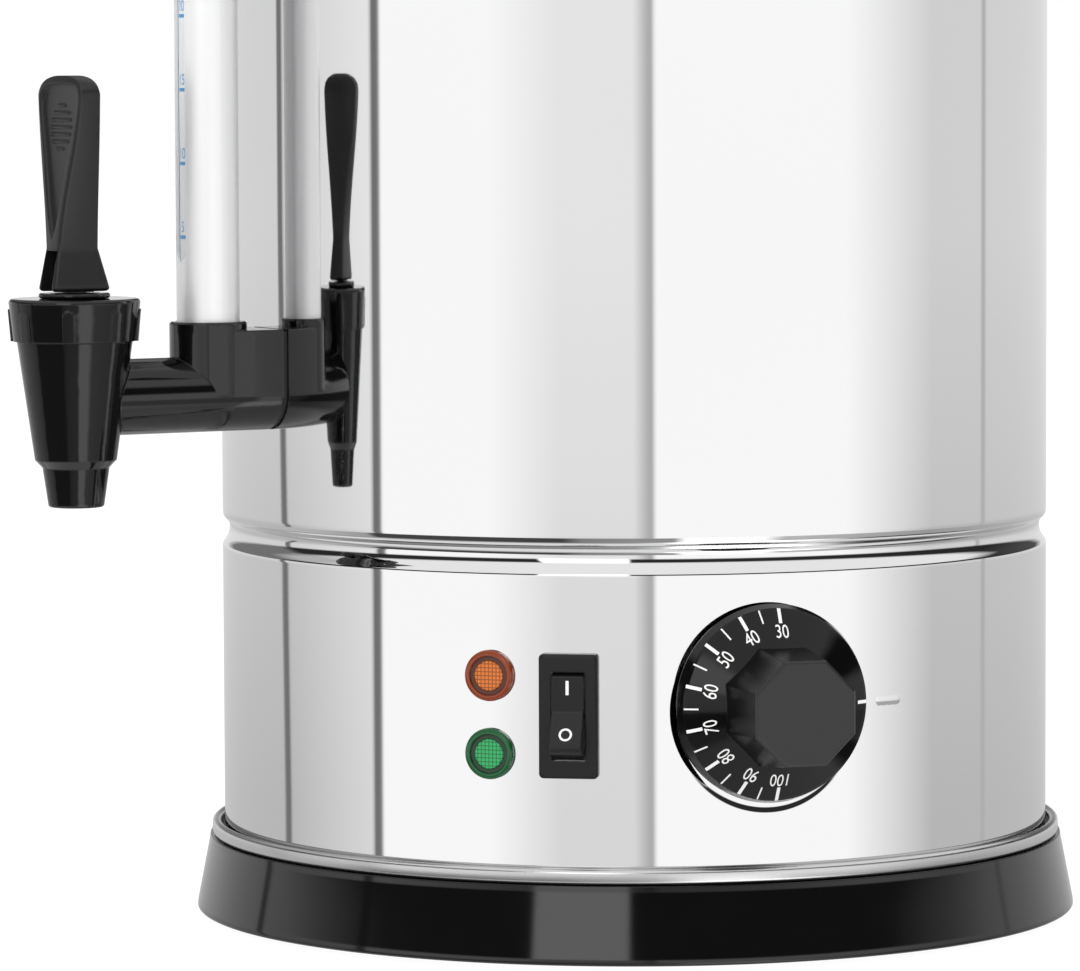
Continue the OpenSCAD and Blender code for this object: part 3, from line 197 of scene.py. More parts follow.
# each band takes over between two heights, in degrees over the horizon
whole = wall_band
for start, end, over in ((5, 9.5, high_band), (24, 30, top_band), (-9.2, -9.8, table_band),
                         (-21.5, -24, front_band), (-31, -37, paper_tone.outputs[0])):
    whole = blend(sky, start, end, level, whole, over)
glow = node(sky, "Background", Strength=studio_strength)
link(sky, whole, glow.inputs["Color"])
plain = node(sky, "Background", Color=(1, 1, 1, 1), Strength=1.0)
seen = node(sky, "LightPath")
choose = node(sky, "MixShader")
link(sky, seen.outputs["Is Camera Ray"], choose.inputs["Fac"])
link(sky, glow.outputs[0], choose.inputs[1])
link(sky, plain.outputs[0], choose.inputs[2])
link(sky, choose.outputs[0], node(sky, "OutputWorld").inputs["Surface"])

floor_mesh = bpy.data.meshes.new("floor")
floor_mesh.from_pydata([(-8, -8, 0), (8, -8, 0), (8, 8, 0), (-8, 8, 0)], [], [(0, 1, 2, 3)])
floor = bpy.data.objects.new("floor", floor_mesh)
bpy.context.scene.collection.objects.link(floor)
paper = bpy.data.materials.new("white_paper")
paper.use_nodes = True
tree = paper.node_tree
tree.nodes.clear()
lit = node(tree, "BsdfDiffuse", Color=(0.16, 0.16, 0.16, 1))
bright = node(tree, "Emission", Color=(1, 1, 1, 1), Strength=0.96)
both = node(tree, "AddShader")
link(tree, lit.outputs[0], both.inputs[0])
link(tree, bright.outputs[0], both.inputs[1])
clear = node(tree, "BsdfTransparent")
path = node(tree, "LightPath")
pick = node(tree, "MixShader")
link(tree, path.outputs["Is Glossy Ray"], pick.inputs["Fac"])
link(tree, both.outputs[0], pick.inputs[1])
link(tree, clear.outputs[0], pick.inputs[2])
link(tree, pick.outputs[0], node(tree, "OutputMaterial").inputs["Surface"])
floor_mesh.materials.append(paper)

lamp_reach, lamp_height = 1.6, 0.9
lamp_target = Vector((0, 0, 0.15))


def beside(spin):
    """A lamp's place, at an angle to the right of the camera."""
    angle = view_turn + math.radians(spin)
    return Vector((math.sin(angle) * lamp_reach, -math.cos(angle) * lamp_reach, lamp_height))


for name, spot, size, power in (("left_panel", beside(-75), 1.1, 10), ("right_panel", beside(42), 1.1, 6),
                                ("top_panel", Vector((0.5, -0.4, 2.0)), 1.6, 12)):
    lamp_data = bpy.data.lights.new(name, "AREA")
    lamp_data.size = size
    lamp_data.energy = power
    lamp = bpy.data.objects.new(name, lamp_data)
    lamp.location = spot
    lamp.rotation_euler = (lamp_target - spot).to_track_quat("-Z", "Y").to_euler()
    lamp.visible_glossy = False
    bpy.context.scene.collection.objects.link(lamp)

# ---- Foot ----
# The foot is one gloss black moulding, closed by a zinc-plated bottom plate with a rubber ring.
# Four long screws from below hold it to the steel edge that stands on it.
def rounded(corners, steps=5):
    """A profile with its corners rounded: (r, z) or (r, z, fillet) in millimetres."""
    line = []
    count = len(corners)
    for i, corner in enumerate(corners):
        p = Vector(corner[:2])
        fillet = corner[2] if len(corner) > 2 else 0
        if not fillet or i in (0, count - 1):
            line.append(p)
            continue
        a = (Vector(corners[i - 1][:2]) - p)
        b = (Vector(corners[i + 1][:2]) - p)
        half = a.angle(b) / 2
        cut = min(fillet / math.tan(half), a.length * 0.49, b.length * 0.49)
        radius = cut * math.tan(half)
        start, end = p + a.normalized() * cut, p + b.normalized() * cut
        centre = p + (a.normalized() + b.normalized()).normalized() * (radius / math.sin(half))
        va, vb = start - centre, end - centre
        total = va.angle_signed(vb)
        for k in range(steps + 1):
            spin = Matrix.Rotation(-total * k / steps, 2)
            line.append(centre + spin @ va)
    return [(q.x, q.y) for q in line]


def mesh_piece(name, verts, faces, body, material, sharp=35):
    """A mesh object in the frame, smooth but for edges sharper than an angle, riding on a body."""
    mesh = bpy.data.meshes.new(name)
    mesh.from_pydata(verts, [], faces)
    mesh.validate()
    mesh.update()
    mesh.shade_smooth()
    mesh.set_sharp_from_angle(angle=math.radians(sharp))
    piece = bpy.data.objects.new(name, mesh)
    bpy.context.scene.collection.objects.link(piece)
    mesh.materials.append(material)
    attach(piece, body)
    return piece


def turned(name, line, body, material, steps=192, centre=(0, 0), closed=False, sharp=35, place=None):
    """A turned mesh: a profile of (r, z) in millimetres around an upright axis."""
    verts, faces = [], []
    count = len(line)
    for k in range(steps):
        angle = 2 * math.pi * k / steps
        for r, z in line:
            p = Vector((centre[0] + r * math.cos(angle), centre[1] + r * math.sin(angle), z)) / 1000
            verts.append(place @ p if place else p)
    spans = count if closed else count - 1
    for k in range(steps):
        nxt = (k + 1) % steps
        for i in range(spans):
            j = (i + 1) % count
            quad = [k * count + i, nxt * count + i, nxt * count + j, k * count + j]
            if line[i][0] == 0 and i != j:
                quad = [quad[0], quad[2], quad[3]]
            elif line[j][0] == 0:
                quad = quad[:3]
            faces.append(quad)
    piece = mesh_piece(name, verts, faces, body, material, sharp)
    shape = bmesh.new()
    shape.from_mesh(piece.data)
    bmesh.ops.remove_doubles(shape, verts=shape.verts, dist=1e-7)
    bmesh.ops.recalc_face_normals(shape, faces=shape.faces)
    shape.to_mesh(piece.data)
    shape.free()
    piece.data.set_sharp_from_angle(angle=math.radians(sharp))
    return piece


def group(name, outputs, inputs):
    """A new shader node group; inputs are (name: value), and a value of three numbers is a vector.
    Returns it with its end nodes."""
    made = bpy.data.node_groups.new(name, "ShaderNodeTree")
    for title, value in inputs.items():
        kind = "NodeSocketVector" if isinstance(value, tuple) else "NodeSocketFloat"
        socket = made.interface.new_socket(title, in_out="INPUT", socket_type=kind)
        socket.default_value = value
    for title in outputs:
        made.interface.new_socket(title, in_out="OUTPUT", socket_type="NodeSocketFloat")
    return made, made.nodes.new("NodeGroupInput"), made.nodes.new("NodeGroupOutput")


# moulded plastic: a faint mottle in colour and gloss over a fine grain
grain, given, made = group("moulded_grain", ("Mottle", "Height"),
                           {"Mottle Scale": 60.0, "Grain Scale": 2500.0})
place_in = node(grain, "TexCoord")
cloudy = node(grain, "TexNoise", Detail=3.0, Roughness=0.6)
fine = node(grain, "TexNoise", Detail=2.0)
link(grain, place_in.outputs["Object"], cloudy.inputs["Vector"])
link(grain, place_in.outputs["Object"], fine.inputs["Vector"])
link(grain, given.outputs["Mottle Scale"], cloudy.inputs["Scale"])
link(grain, given.outputs["Grain Scale"], fine.inputs["Scale"])
link(grain, cloudy.outputs["Fac"], made.inputs["Mottle"])
link(grain, fine.outputs["Fac"], made.inputs["Height"])


def finish(name, base, rough, metal=0.0, grain_height=0.00002, spread=0.06, tint=0.12,
           mottle=60.0, fine=2500.0, stretch=None, edge=0.0, **sockets):
    """A material whose colour and gloss vary a little over a fine grain. Spread and tint say by how
    much, stretch is another pattern group, and edge is the radius of softened corners in metres."""
    material = bpy.data.materials.new(name)
    material.use_nodes = True
    tree = material.node_tree
    shader = tree.nodes["Principled BSDF"]
    for title, value in sockets.items():
        shader.inputs[title.replace("_", " ")].default_value = value
    shader.inputs["Metallic"].default_value = metal
    pattern = tree.nodes.new("ShaderNodeGroup")
    pattern.node_tree = grain if stretch is None else stretch
    pattern.inputs["Mottle Scale"].default_value = mottle
    pattern.inputs["Grain Scale"].default_value = fine
    shade = node(tree, "Mix", data_type="RGBA")
    shade.inputs["A"].default_value = (*[c * (1 - tint) for c in base], 1)
    shade.inputs["B"].default_value = (*[min(1, c * (1 + tint)) for c in base], 1)
    link(tree, pattern.outputs["Mottle"], shade.inputs["Factor"])
    link(tree, shade.outputs["Result"], shader.inputs["Base Color"])
    gloss = node(tree, "MapRange")
    gloss.inputs["To Min"].default_value = max(0.0, rough - spread / 2)
    gloss.inputs["To Max"].default_value = rough + spread / 2
    link(tree, pattern.outputs["Mottle"], gloss.inputs["Value"])
    link(tree, gloss.outputs["Result"], shader.inputs["Roughness"])
    bump = node(tree, "Bump", Strength=1.0, Distance=grain_height)
    link(tree, pattern.outputs["Height"], bump.inputs["Height"])
    if edge:
        soft = node(tree, "Bevel", samples=6, Radius=edge)
        link(tree, soft.outputs["Normal"], bump.inputs["Normal"])
    link(tree, bump.outputs["Normal"], shader.inputs["Normal"])
    return material


def dress(material, *names):
    """Gives CAD nodes a finish and smooth shading."""
    for name in names:
        mesh = nodes[name].data
        mesh.materials.clear()
        mesh.materials.append(material)
        mesh.shade_smooth()
        mesh.set_sharp_from_angle(angle=math.radians(28))
        even = nodes[name].modifiers.new("even_normals", "WEIGHTED_NORMAL")
        even.keep_sharp = True


gloss_black = finish("gloss_black", (0.0035, 0.0035, 0.0036), 0.07, grain_height=0.000002, spread=0.04,
                     edge=0.0005)
zinc = finish("zinc_plate", (0.58, 0.60, 0.63), 0.34, metal=1.0, grain_height=0.00001, spread=0.16)
rubber = finish("black_rubber", (0.022, 0.022, 0.022), 0.62, grain_height=0.00003, spread=0.14)
foot_side = [(113.9, 21.2, 0.5), (114.12, 19.6, 0.3), (114.2, 19.2), (114.3, 18.7), (115.7, 11.5),
             (117.25, 3.6), (117.33, 3.2), (117.5, 1.5, 1.2), (113.8, 1.5, 0.3), (113.7, 2.2),
             (111.4, 18.7), (95.0, 18.7), (95.0, 21.2)]
foot = turned("moulded_foot", rounded(foot_side), "urn", gloss_black, 256, closed=True, sharp=50)
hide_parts("foot_skirt")
dress(zinc, "bottom_plate", "foot_screws")
dress(rubber, "rubber_ring")

# ---- Body ----
# The body is a rolled and welded stainless sheet, mirror polished, with a groove rolled in at the
# waist, a flat pressed in behind the knob and a raised index mark beside it. Its rim is curled, and
# the vessel's floor is welded in above the groove.
body_r = 110.0
sheet = 0.8

# polished steel: very fine rings of polishing and a slow unevenness of the sheet
polish, given, made = group("polish_lines", ("Mottle", "Height"),
                            {"Mottle Scale": 9.0, "Grain Scale": 900.0})
place_in = node(polish, "TexCoord")
lines = node(polish, "Mapping")
lines.inputs["Scale"].default_value = (0.02, 0.02, 1.0)
link(polish, place_in.outputs["Object"], lines.inputs["Vector"])
slow = node(polish, "TexNoise", Detail=2.0)
fine = node(polish, "TexNoise", Detail=3.0)
link(polish, place_in.outputs["Object"], slow.inputs["Vector"])
link(polish, lines.outputs["Vector"], fine.inputs["Vector"])
link(polish, given.outputs["Mottle Scale"], slow.inputs["Scale"])
link(polish, given.outputs["Grain Scale"], fine.inputs["Scale"])
link(polish, slow.outputs["Fac"], made.inputs["Mottle"])
link(polish, fine.outputs["Fac"], made.inputs["Height"])

mirror = dict(base=(steel_shine, steel_shine, 0.74), rough=0.035, metal=1.0, grain_height=0.0000015,
              spread=0.02, tint=0.012, mottle=9.0, fine=900.0, stretch=polish)
mirror_steel = finish("mirror_steel", **mirror)

# height and depth down the groove, with a long run-in at its top
groove_line = [(109.0, 0.0), (108.4, 0.004), (108.0, 0.018), (107.6, 0.045), (107.2, 0.09),
               (106.85, 0.15), (106.5, 0.28), (106.1, 0.60), (105.7, 1.00), (105.3, 1.36),
               (104.9, 1.61), (104.4, 1.78), (103.8, 1.84), (103.2, 1.83), (102.5, 1.76),
               (101.9, 1.63), (101.3, 1.42), (100.8, 1.17), (100.3, 0.86), (99.9, 0.57),
               (99.5, 0.30), (99.15, 0.10), (98.8, 0.02), (98.4, 0.0), (98.0, 0.0)]
wall_foot, rim_z, rim_r = 22.03, 382.5, 2.5
groove_top, groove_foot = groove_line[0][0], groove_line[-1][0]


def through(points, count):
    """A smooth curve through points, as a list of points."""
    made = []
    for i in range(len(points) - 1):
        a, b = points[max(0, i - 1)], points[i]
        c, d = points[i + 1], points[min(len(points) - 1, i + 2)]
        for k in range(count):
            t = k / count
            made.append(tuple(0.5 * (2 * q + (r - p) * t + (2 * p - 5 * q + 4 * r - s) * t * t
                                     + (3 * q - p - 3 * r + s) * t ** 3)
                              for p, q, r, s in zip(a, b, c, d)))
    return made + [points[-1]]


low = [(body_r, wall_foot + (groove_foot - wall_foot) * i / 8) for i in range(8)]
waist_line = [(body_r - deep, z) for z, deep in reversed(through(groove_line, 4))]
high = [(body_r, groove_top + (rim_z - groove_top) * i / 16) for i in range(1, 17)]
outside = low + waist_line + high
curl = [(111.9 + rim_r * math.cos(math.radians(a)), rim_z + rim_r * math.sin(math.radians(a)))
        for a in range(-128, 181, 14)]
inside = [(r - sheet, z) for r, z in reversed(outside)]


def seated(material, seat_place, radius, edge_width, deep):
    """Presses a round flat into a sheet, as a bump around an outward axis, all in metres."""
    tree = material.node_tree
    grain_bump = [n for n in tree.nodes if n.bl_idname == "ShaderNodeBump"][0]
    where = node(tree, "TexCoord")
    out = seat_place.to_3x3() @ Vector((0, 0, 1))
    away = node(tree, "VectorMath", operation="SUBTRACT")
    away.inputs[1].default_value = seat_place.translation
    link(tree, where.outputs["Object"], away.inputs[0])
    along = node(tree, "VectorMath", operation="DOT_PRODUCT")
    along.inputs[1].default_value = out
    link(tree, away.outputs[0], along.inputs[0])
    axial = node(tree, "VectorMath", operation="SCALE")
    axial.inputs[0].default_value = out
    link(tree, along.outputs["Value"], axial.inputs["Scale"])
    flat = node(tree, "VectorMath", operation="SUBTRACT")
    link(tree, away.outputs[0], flat.inputs[0])
    link(tree, axial.outputs[0], flat.inputs[1])
    reach = node(tree, "VectorMath", operation="LENGTH")
    link(tree, flat.outputs[0], reach.inputs[0])
    raised = node(tree, "MapRange", interpolation_type="SMOOTHSTEP",
                  From_Min=radius, From_Max=radius + edge_width)
    link(tree, reach.outputs["Value"], raised.inputs["Value"])
    # the far wall of the body isn't pressed
    behind = node(tree, "MapRange", From_Min=-0.02, From_Max=-0.019, To_Min=1.0, To_Max=0.0)
    link(tree, along.outputs["Value"], behind.inputs["Value"])
    tall = node(tree, "Math", operation="MAXIMUM")
    link(tree, raised.outputs["Result"], tall.inputs[0])
    link(tree, behind.outputs["Result"], tall.inputs[1])
    press = node(tree, "Bump", Strength=1.0, Distance=deep)
    link(tree, tall.outputs[0], press.inputs["Height"])
    link(tree, press.outputs["Normal"], grain_bump.inputs["Normal"])


def wall_place(azimuth, z):
    """The frame of a part on the body's wall: X along the wall, Y up, Z outwards, in metres."""
    out = Vector((math.sin(azimuth), -math.cos(azimuth), 0))
    made = Matrix((Vector((math.cos(azimuth), math.sin(azimuth), 0)), Vector((0, 0, 1)), out))
    made = made.transposed().to_4x4()
    made.translation = (out * body_r + Vector((0, 0, z))) / 1000
    return made


knob_az = math.radians(77.0)
shell_steel = finish("body_steel", **mirror)
seated(shell_steel, wall_place(knob_az, 63.6), radius=0.0232, edge_width=0.0022, deep=0.00032)
shell = turned("polished_body", outside + curl + [(109.25, 383.0)] + inside[1:], "urn", shell_steel, 384,
               closed=True, sharp=60)
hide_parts("body_shell")

# the index mark: a low ridge along the wall with round ends
mark_az, mark_z = knob_az + math.radians(17.9), 65.2
mark_length, mark_width, mark_round, mark_crest = 8.0, 2.7, 1.2, 0.09
verts, faces = [], []
long_steps, round_steps = 24, 10
for i in range(long_steps + 1):
    u = mark_length * (i / long_steps - 0.5)
    past = max(0.0, (abs(u) - mark_length / 2 + mark_round) / mark_round)
    width = mark_width / 2 * math.sqrt(max(0.0, 1 - past ** 2))
    for k in range(round_steps + 1):
        v = -width + 2 * width * k / round_steps
        crest = 0.0
        if width > 1e-6:
            crest = mark_crest / mark_width * width * (1 + math.cos(math.pi * v / width))
        a = mark_az + u / body_r
        r = body_r - 0.008 + crest
        verts.append((r * math.sin(a) / 1000, -r * math.cos(a) / 1000, (mark_z + v) / 1000))
for i in range(long_steps):
    for k in range(round_steps):
        a = i * (round_steps + 1) + k
        faces.append((a, a + 1, a + round_steps + 2, a + round_steps + 1))
mesh_piece("index_mark", verts, faces, "urn", mirror_steel)
dress(mirror_steel, "vessel_floor")

# ---- Rolled edge ----
# The body stands in a satin steel tray with a rolled bead around it. The tray's inner wall is
# spot welded to the body, and the foot's screws go into its floor.
satin_steel = finish("satin_steel", (0.60, 0.60, 0.605), 0.24, metal=1.0, grain_height=0.000008,
                     spread=0.08, tint=0.03, mottle=20.0, fine=1500.0, stretch=polish)
bead = [(112.1 + 1.2 * math.cos(math.radians(a)), z + 1.2 * math.sin(math.radians(a)))
        for a, z in [(a, 22.4) for a in range(-90, 1, 15)] + [(a, 24.2) for a in range(0, 181, 15)]]
tray = [(95.0, 21.2)] + bead + [(110.9, 22.0), (109.15, 22.0), (109.15, 29.2), (108.35, 29.2),
                                (108.35, 22.0), (95.0, 22.0)]
edge = turned("rolled_edge", tray, "urn", satin_steel, 256, closed=True, sharp=50)
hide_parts("edge_tray")

# ---- Heater ----
# A cast aluminium spreader with a tubular element pressed into it lies under the vessel's floor. A
# ceramic cut-out with a red reset button is held to it by a zinc-plated bracket.
cast_aluminium = finish("cast_aluminium", (0.66, 0.66, 0.67), 0.42, metal=1.0,
                        grain_height=0.00004, spread=0.2)
heater_sheath = finish("heater_sheath", (0.32, 0.32, 0.31), 0.40, metal=1.0, spread=0.2)
ceramic = finish("steatite", (0.78, 0.74, 0.64), 0.45)
red_moulding = finish("red_moulding", (0.52, 0.03, 0.02), 0.3)
dress(cast_aluminium, "heat_spreader")
dress(heater_sheath, "heating_element")
dress(ceramic, "safety_cutout")
dress(zinc, "cutout_bracket", "bracket_screws")
dress(red_moulding, "reset_button")

# ---- Thermostat ----
# A capillary thermostat in a black case sits behind the panel on two screws. Its copper bulb lies
# under the spreader.
black_case = finish("black_case", (0.03, 0.03, 0.032), 0.42, grain_height=0.00003)
copper = finish("copper", (0.72, 0.36, 0.22), 0.3, metal=1.0, spread=0.14)
dress(black_case, "thermostat_body")
dress(copper, "capillary_bulb")
dress(zinc, "thermostat_screws", "thermostat_spindle")

# ---- Knob ----
# A gloss black moulded dial with an octagonal grip, pushed on the spindle. The grip's face is a
# little duller. The scale and its numbers are printed in white on the dial's cone.
def letters(text, height, squeeze=1.0):
    """Printed figures as flat outlines: (vertices, faces), centred, in millimetres."""
    curve = bpy.data.curves.new("figures", "FONT")
    curve.body = text
    curve.align_x = "CENTER"
    curve.resolution_u = 6
    shape = bpy.data.objects.new("figures", curve)
    flat = bpy.data.meshes.new_from_object(shape)
    bpy.data.objects.remove(shape)
    scale = height / 0.73
    tall = [v.co.y for v in flat.vertices]
    middle = (max(tall) + min(tall)) / 2
    verts = [(v.co.x * scale * squeeze, (v.co.y - middle) * scale) for v in flat.vertices]
    faces = [tuple(f.vertices) for f in flat.polygons]
    bpy.data.meshes.remove(flat)
    return verts, faces


def bar(x0, x1, y0, y1, steps=4):
    """A printed bar: (vertices, faces) in millimetres."""
    verts = [(x0 + (x1 - x0) * i / steps, y) for i in range(steps + 1) for y in (y0, y1)]
    return verts, [(2 * i, 2 * i + 2, 2 * i + 3, 2 * i + 1) for i in range(steps)]


def printed(name, marks, body, material, place):
    """One mesh of flat marks; each is (vertices, faces, map) and the map puts a point in place."""
    verts, faces = [], []
    for points, rings, put in marks:
        start = len(verts)
        verts += [place @ (Vector(put(x, y)) / 1000) for x, y in points]
        faces += [tuple(start + i for i in ring) for ring in rings]
    return mesh_piece(name, verts, faces, body, material)


knob_place = wall_place(knob_az, 66.4)
cone_r, cone_z = 23.5, 5.54
cone_slope, rim_slope = 0.5918, 0.714


def on_dial(angle, radius):
    """Maps a mark onto the dial's cone, its top outwards, at an angle from three o'clock."""
    def put(x, y):
        r = radius + y
        a = math.radians(angle) - x / r
        slope = cone_slope if r < cone_r else rim_slope
        return r * math.cos(a), r * math.sin(a), cone_z + (cone_r - r) * slope
    return put


def tick(half_width, inner, outer, angle):
    """A scale line across the cone and over its rim, as two marks."""
    return [(*bar(-half_width, half_width, -inner, 0), on_dial(angle, cone_r)),
            (*bar(-half_width, half_width, 0, outer), on_dial(angle, cone_r))]


dial_print = finish("dial_print", (0.86, 0.86, 0.85), 0.45, tint=0.05, Specular_IOR_Level=0.3)
dial_black = finish("dial_black", (0.0030, 0.0030, 0.0031), 0.09, grain_height=0.000004, spread=0.04,
                    edge=0.0004, Specular_IOR_Level=0.28)
grip_black = finish("grip_black", (0.0055, 0.0055, 0.0056), 0.12, grain_height=0.00001, spread=0.05,
                    edge=0.0004)
# the grip's side facets take a darker, duller copy of the grip's black: painted shade, which keeps them
# dark and shows little of the printed figures in them
grip_side_shaded = finish("grip_side_shaded", (0.0028, 0.0028, 0.0029), 0.3, grain_height=0.00001, spread=0.05,
                   edge=0.0005, Specular_IOR_Level=0.14)
# degrees Celsius and where each stands on the dial
figures = [(30, 88), (40, 113), (50, 139.5), (60, 167), (70, 194.5), (80, 220.5), (90, 246.2),
           (100, 270.5)]
wide, narrow = 0.43, 0.2
marks = []
for i, (value, angle) in enumerate(figures):
    marks.append((*letters(str(value), 3.3, 0.82), on_dial(angle, 18.7)))
    marks += tick(wide, 2.9, 0.65, angle)
    if i:
        marks += tick(narrow, 2.6, 0.6, (angle + figures[i - 1][1]) / 2)
marks += tick(wide, 2.2, 0.65, 0)
printed("dial_figures", marks, "knob", dial_print, knob_place)
dress(dial_black, "thermostat_knob")
knob_mesh = nodes["thermostat_knob"].data
knob_mesh.materials.append(grip_black)
knob_mesh.materials.append(grip_side_shaded)
to_knob = knob_place.inverted() @ nodes["thermostat_knob"].matrix_world
# faces above the grip's foot take the grip's face finish, and its side facets the darker copy that paints
# shade on them
grip_foot = 0.01135
for face in knob_mesh.polygons:
    if (to_knob @ face.center).z > grip_foot:
        face.material_index = 1 if (to_knob.to_3x3() @ face.normal).normalized().z > 0.7 else 2

# ---- Switch ----
# A snap-in rocker switch in black plastic, its housing clipped in the panel from the front. The
# rocker's two halves meet at an angle, and I and O are printed on them in white.
switch_black = finish("switch_black", (0.0040, 0.0039, 0.0037), 0.26, grain_height=0.00001, spread=0.06,
                      edge=0.0004, Specular_IOR_Level=0.40)
dress(switch_black, "switch_housing", "switch_rocker")
rocker_place = wall_place(math.radians(50.7), 63.6)
rocker_tilt = math.radians(15)
rocker_rise, rocker_sunk, print_lift = 4.8, 1.0, 0.04


def on_rocker(middle):
    """Maps a mark onto one half of the rocker, at a distance above its middle."""
    def put(x, y):
        reach = middle + y
        rise = rocker_rise + abs(reach) * math.tan(rocker_tilt) + print_lift
        return (x, reach * math.cos(rocker_tilt) + rise * math.sin(rocker_tilt),
                rise * math.cos(rocker_tilt) - reach * math.sin(rocker_tilt) - rocker_sunk)
    return put


sign_at, sign_half, ring_inner, ring_outer, ring_steps = 5.9, 1.72, 1.15, 1.68, 40
ring_verts = [(r * math.cos(2 * math.pi * i / ring_steps), r * math.sin(2 * math.pi * i / ring_steps))
              for i in range(ring_steps) for r in (ring_inner, ring_outer)]
ring_faces = [(2 * i, 2 * i + 1, (2 * i + 3) % (2 * ring_steps), (2 * i + 2) % (2 * ring_steps))
              for i in range(ring_steps)]
signs = [(*bar(-0.38, 0.38, -sign_half, sign_half, 1), on_rocker(sign_at)),
         (ring_verts, ring_faces, on_rocker(-sign_at))]
switch_marks = printed("switch_marks", signs, "rocker", dial_print, rocker_place)
brass = finish("brass_tabs", (0.72, 0.52, 0.22), 0.3, metal=1.0)
dress(brass, "switch_terminals")

# ---- Pilot lamps ----
# Amber and green moulded lenses, snapped in from the front, over black lamp bodies held by nylon
# nuts. A fine grid of prisms is moulded inside the lens, within a darker flange.
prisms, given, made = group("lens_prisms", ("Grid", "Ring", "Flange"),
                            {"Place": (0.0, 0.0, 0.0), "Pitch": 0.001, "Disc": 0.0036, "Rim": 0.0047})
wave = node(prisms, "Math", operation="DIVIDE")
wave.inputs[0].default_value = 2 * math.pi
link(prisms, given.outputs["Pitch"], wave.inputs[1])
phase = node(prisms, "VectorMath", operation="SCALE")
link(prisms, given.outputs["Place"], phase.inputs[0])
link(prisms, wave.outputs[0], phase.inputs["Scale"])
ripples = node(prisms, "VectorMath", operation="COSINE")
link(prisms, phase.outputs[0], ripples.inputs[0])
two_ways = node(prisms, "SeparateXYZ")
link(prisms, ripples.outputs[0], two_ways.inputs["Vector"])
grid = node(prisms, "Math", operation="MAXIMUM")
link(prisms, two_ways.outputs["X"], grid.inputs[0])
link(prisms, two_ways.outputs["Y"], grid.inputs[1])
lines = node(prisms, "MapRange", From_Min=0.4, From_Max=1.0)
link(prisms, grid.outputs[0], lines.inputs["Value"])
link(prisms, lines.outputs["Result"], made.inputs["Grid"])
level_place = node(prisms, "VectorMath", operation="MULTIPLY")
level_place.inputs[1].default_value = (1, 1, 0)
link(prisms, given.outputs["Place"], level_place.inputs[0])
radius = node(prisms, "VectorMath", operation="LENGTH")
link(prisms, level_place.outputs[0], radius.inputs[0])
for limit, soft_width, mask in (("Disc", 0.0003, "Ring"), ("Rim", 0.0005, "Flange")):
    end = node(prisms, "Math", operation="ADD")
    end.inputs[1].default_value = soft_width
    link(prisms, given.outputs[limit], end.inputs[0])
    band = node(prisms, "MapRange")
    link(prisms, given.outputs[limit], band.inputs["From Min"])
    link(prisms, end.outputs[0], band.inputs["From Max"])
    link(prisms, radius.outputs["Value"], band.inputs["Value"])
    link(prisms, band.outputs["Result"], made.inputs[mask])


def lens(name, azimuth, z, dark, bright):
    """A moulded lens: a lit disc with its prisms, a dark ring around it, and a flange."""
    made = finish(name, bright, 0.10, grain_height=0.000004, spread=0.05, tint=0.06, edge=0.0003)
    tree = made.node_tree
    where = node(tree, "TexCoord")
    axis_place = wall_place(azimuth, z).inverted()
    local = node(tree, "Mapping", vector_type="POINT")
    local.inputs["Rotation"].default_value = axis_place.to_euler()
    local.inputs["Location"].default_value = axis_place.translation
    link(tree, where.outputs["Object"], local.inputs["Vector"])
    pattern = tree.nodes.new("ShaderNodeGroup")
    pattern.node_tree = prisms
    link(tree, local.outputs["Vector"], pattern.inputs["Place"])
    disc = node(tree, "Mix", data_type="RGBA")
    disc.inputs["A"].default_value = (*bright, 1)
    disc.inputs["B"].default_value = (*[c * 0.28 for c in bright], 1)
    link(tree, pattern.outputs["Grid"], disc.inputs["Factor"])
    colour = disc.outputs["Result"]
    for mask, tone in (("Ring", 0.35), ("Flange", 1.0)):
        over = node(tree, "Mix", data_type="RGBA")
        over.inputs["B"].default_value = (*[c * tone for c in dark], 1)
        link(tree, pattern.outputs[mask], over.inputs["Factor"])
        link(tree, colour, over.inputs["A"])
        colour = over.outputs["Result"]
    link(tree, colour, tree.nodes["Principled BSDF"].inputs["Base Color"])
    return made


lamp_az = math.radians(40)
amber = lens("amber_lens", lamp_az, 73.3, (0.20, 0.030, 0.003), (0.62, 0.145, 0.006))
green = lens("green_lens", lamp_az, 53.6, (0.002, 0.075, 0.018), (0.010, 0.36, 0.095))
natural = finish("natural_nylon", (0.75, 0.74, 0.70), 0.5)
dress(amber, "amber_lens")
dress(green, "green_lens")
dress(black_case, "lamp_bodies")
dress(natural, "lamp_nuts")

# ---- Cord inlet ----
# A black nylon gland in the body's back wall, held by its nut from inside, and a ceramic terminal
# block. The cord that belongs in the gland is left out.
dress(black_case, "inlet_gland", "gland_nut")
dress(ceramic, "terminal_block")

# ---- Tap arm ----
# One gloss black moulding: a round arm, a block that carries the gauge's socket, and a threaded
# shank that passes the body.
dress(gloss_black, "tap_arm")
dress(rubber, "arm_gasket")
silicone = finish("silicone", (0.62, 0.62, 0.60), 0.5, Transmission_Weight=0.15)
dress(silicone, "shank_washer")
dress(zinc, "shank_nut")

# ---- Tap ----
# A gloss black cone with a spout, closed by a ribbed screw cap that holds down a guide collar. The
# dark stem slides in the collar and presses a silicone cup on the seat over the spout.
dress(gloss_black, "tap_body", "tap_cap", "stem_guide")
dress(silicone, "cap_seal", "seat_cup")
dark_stem = finish("dark_stem", (0.035, 0.035, 0.037), 0.35)
dress(dark_stem, "valve_stem")

# ---- Valve spring ----
# A coil of bright steel wire with closed ends between the stem's flange and the guide collar. It pushes
# the stem down on its seat; it shortens as the lever lifts the stem, but here it keeps its rest length.
tap_y = -164.8
coil_r, coil_wire = 4.4, 0.5
coil_low, coil_top = 143.54, 157.36
coil_turns, coil_dead = 6.0, 0.9
coil_sides, coil_steps = 10, 32


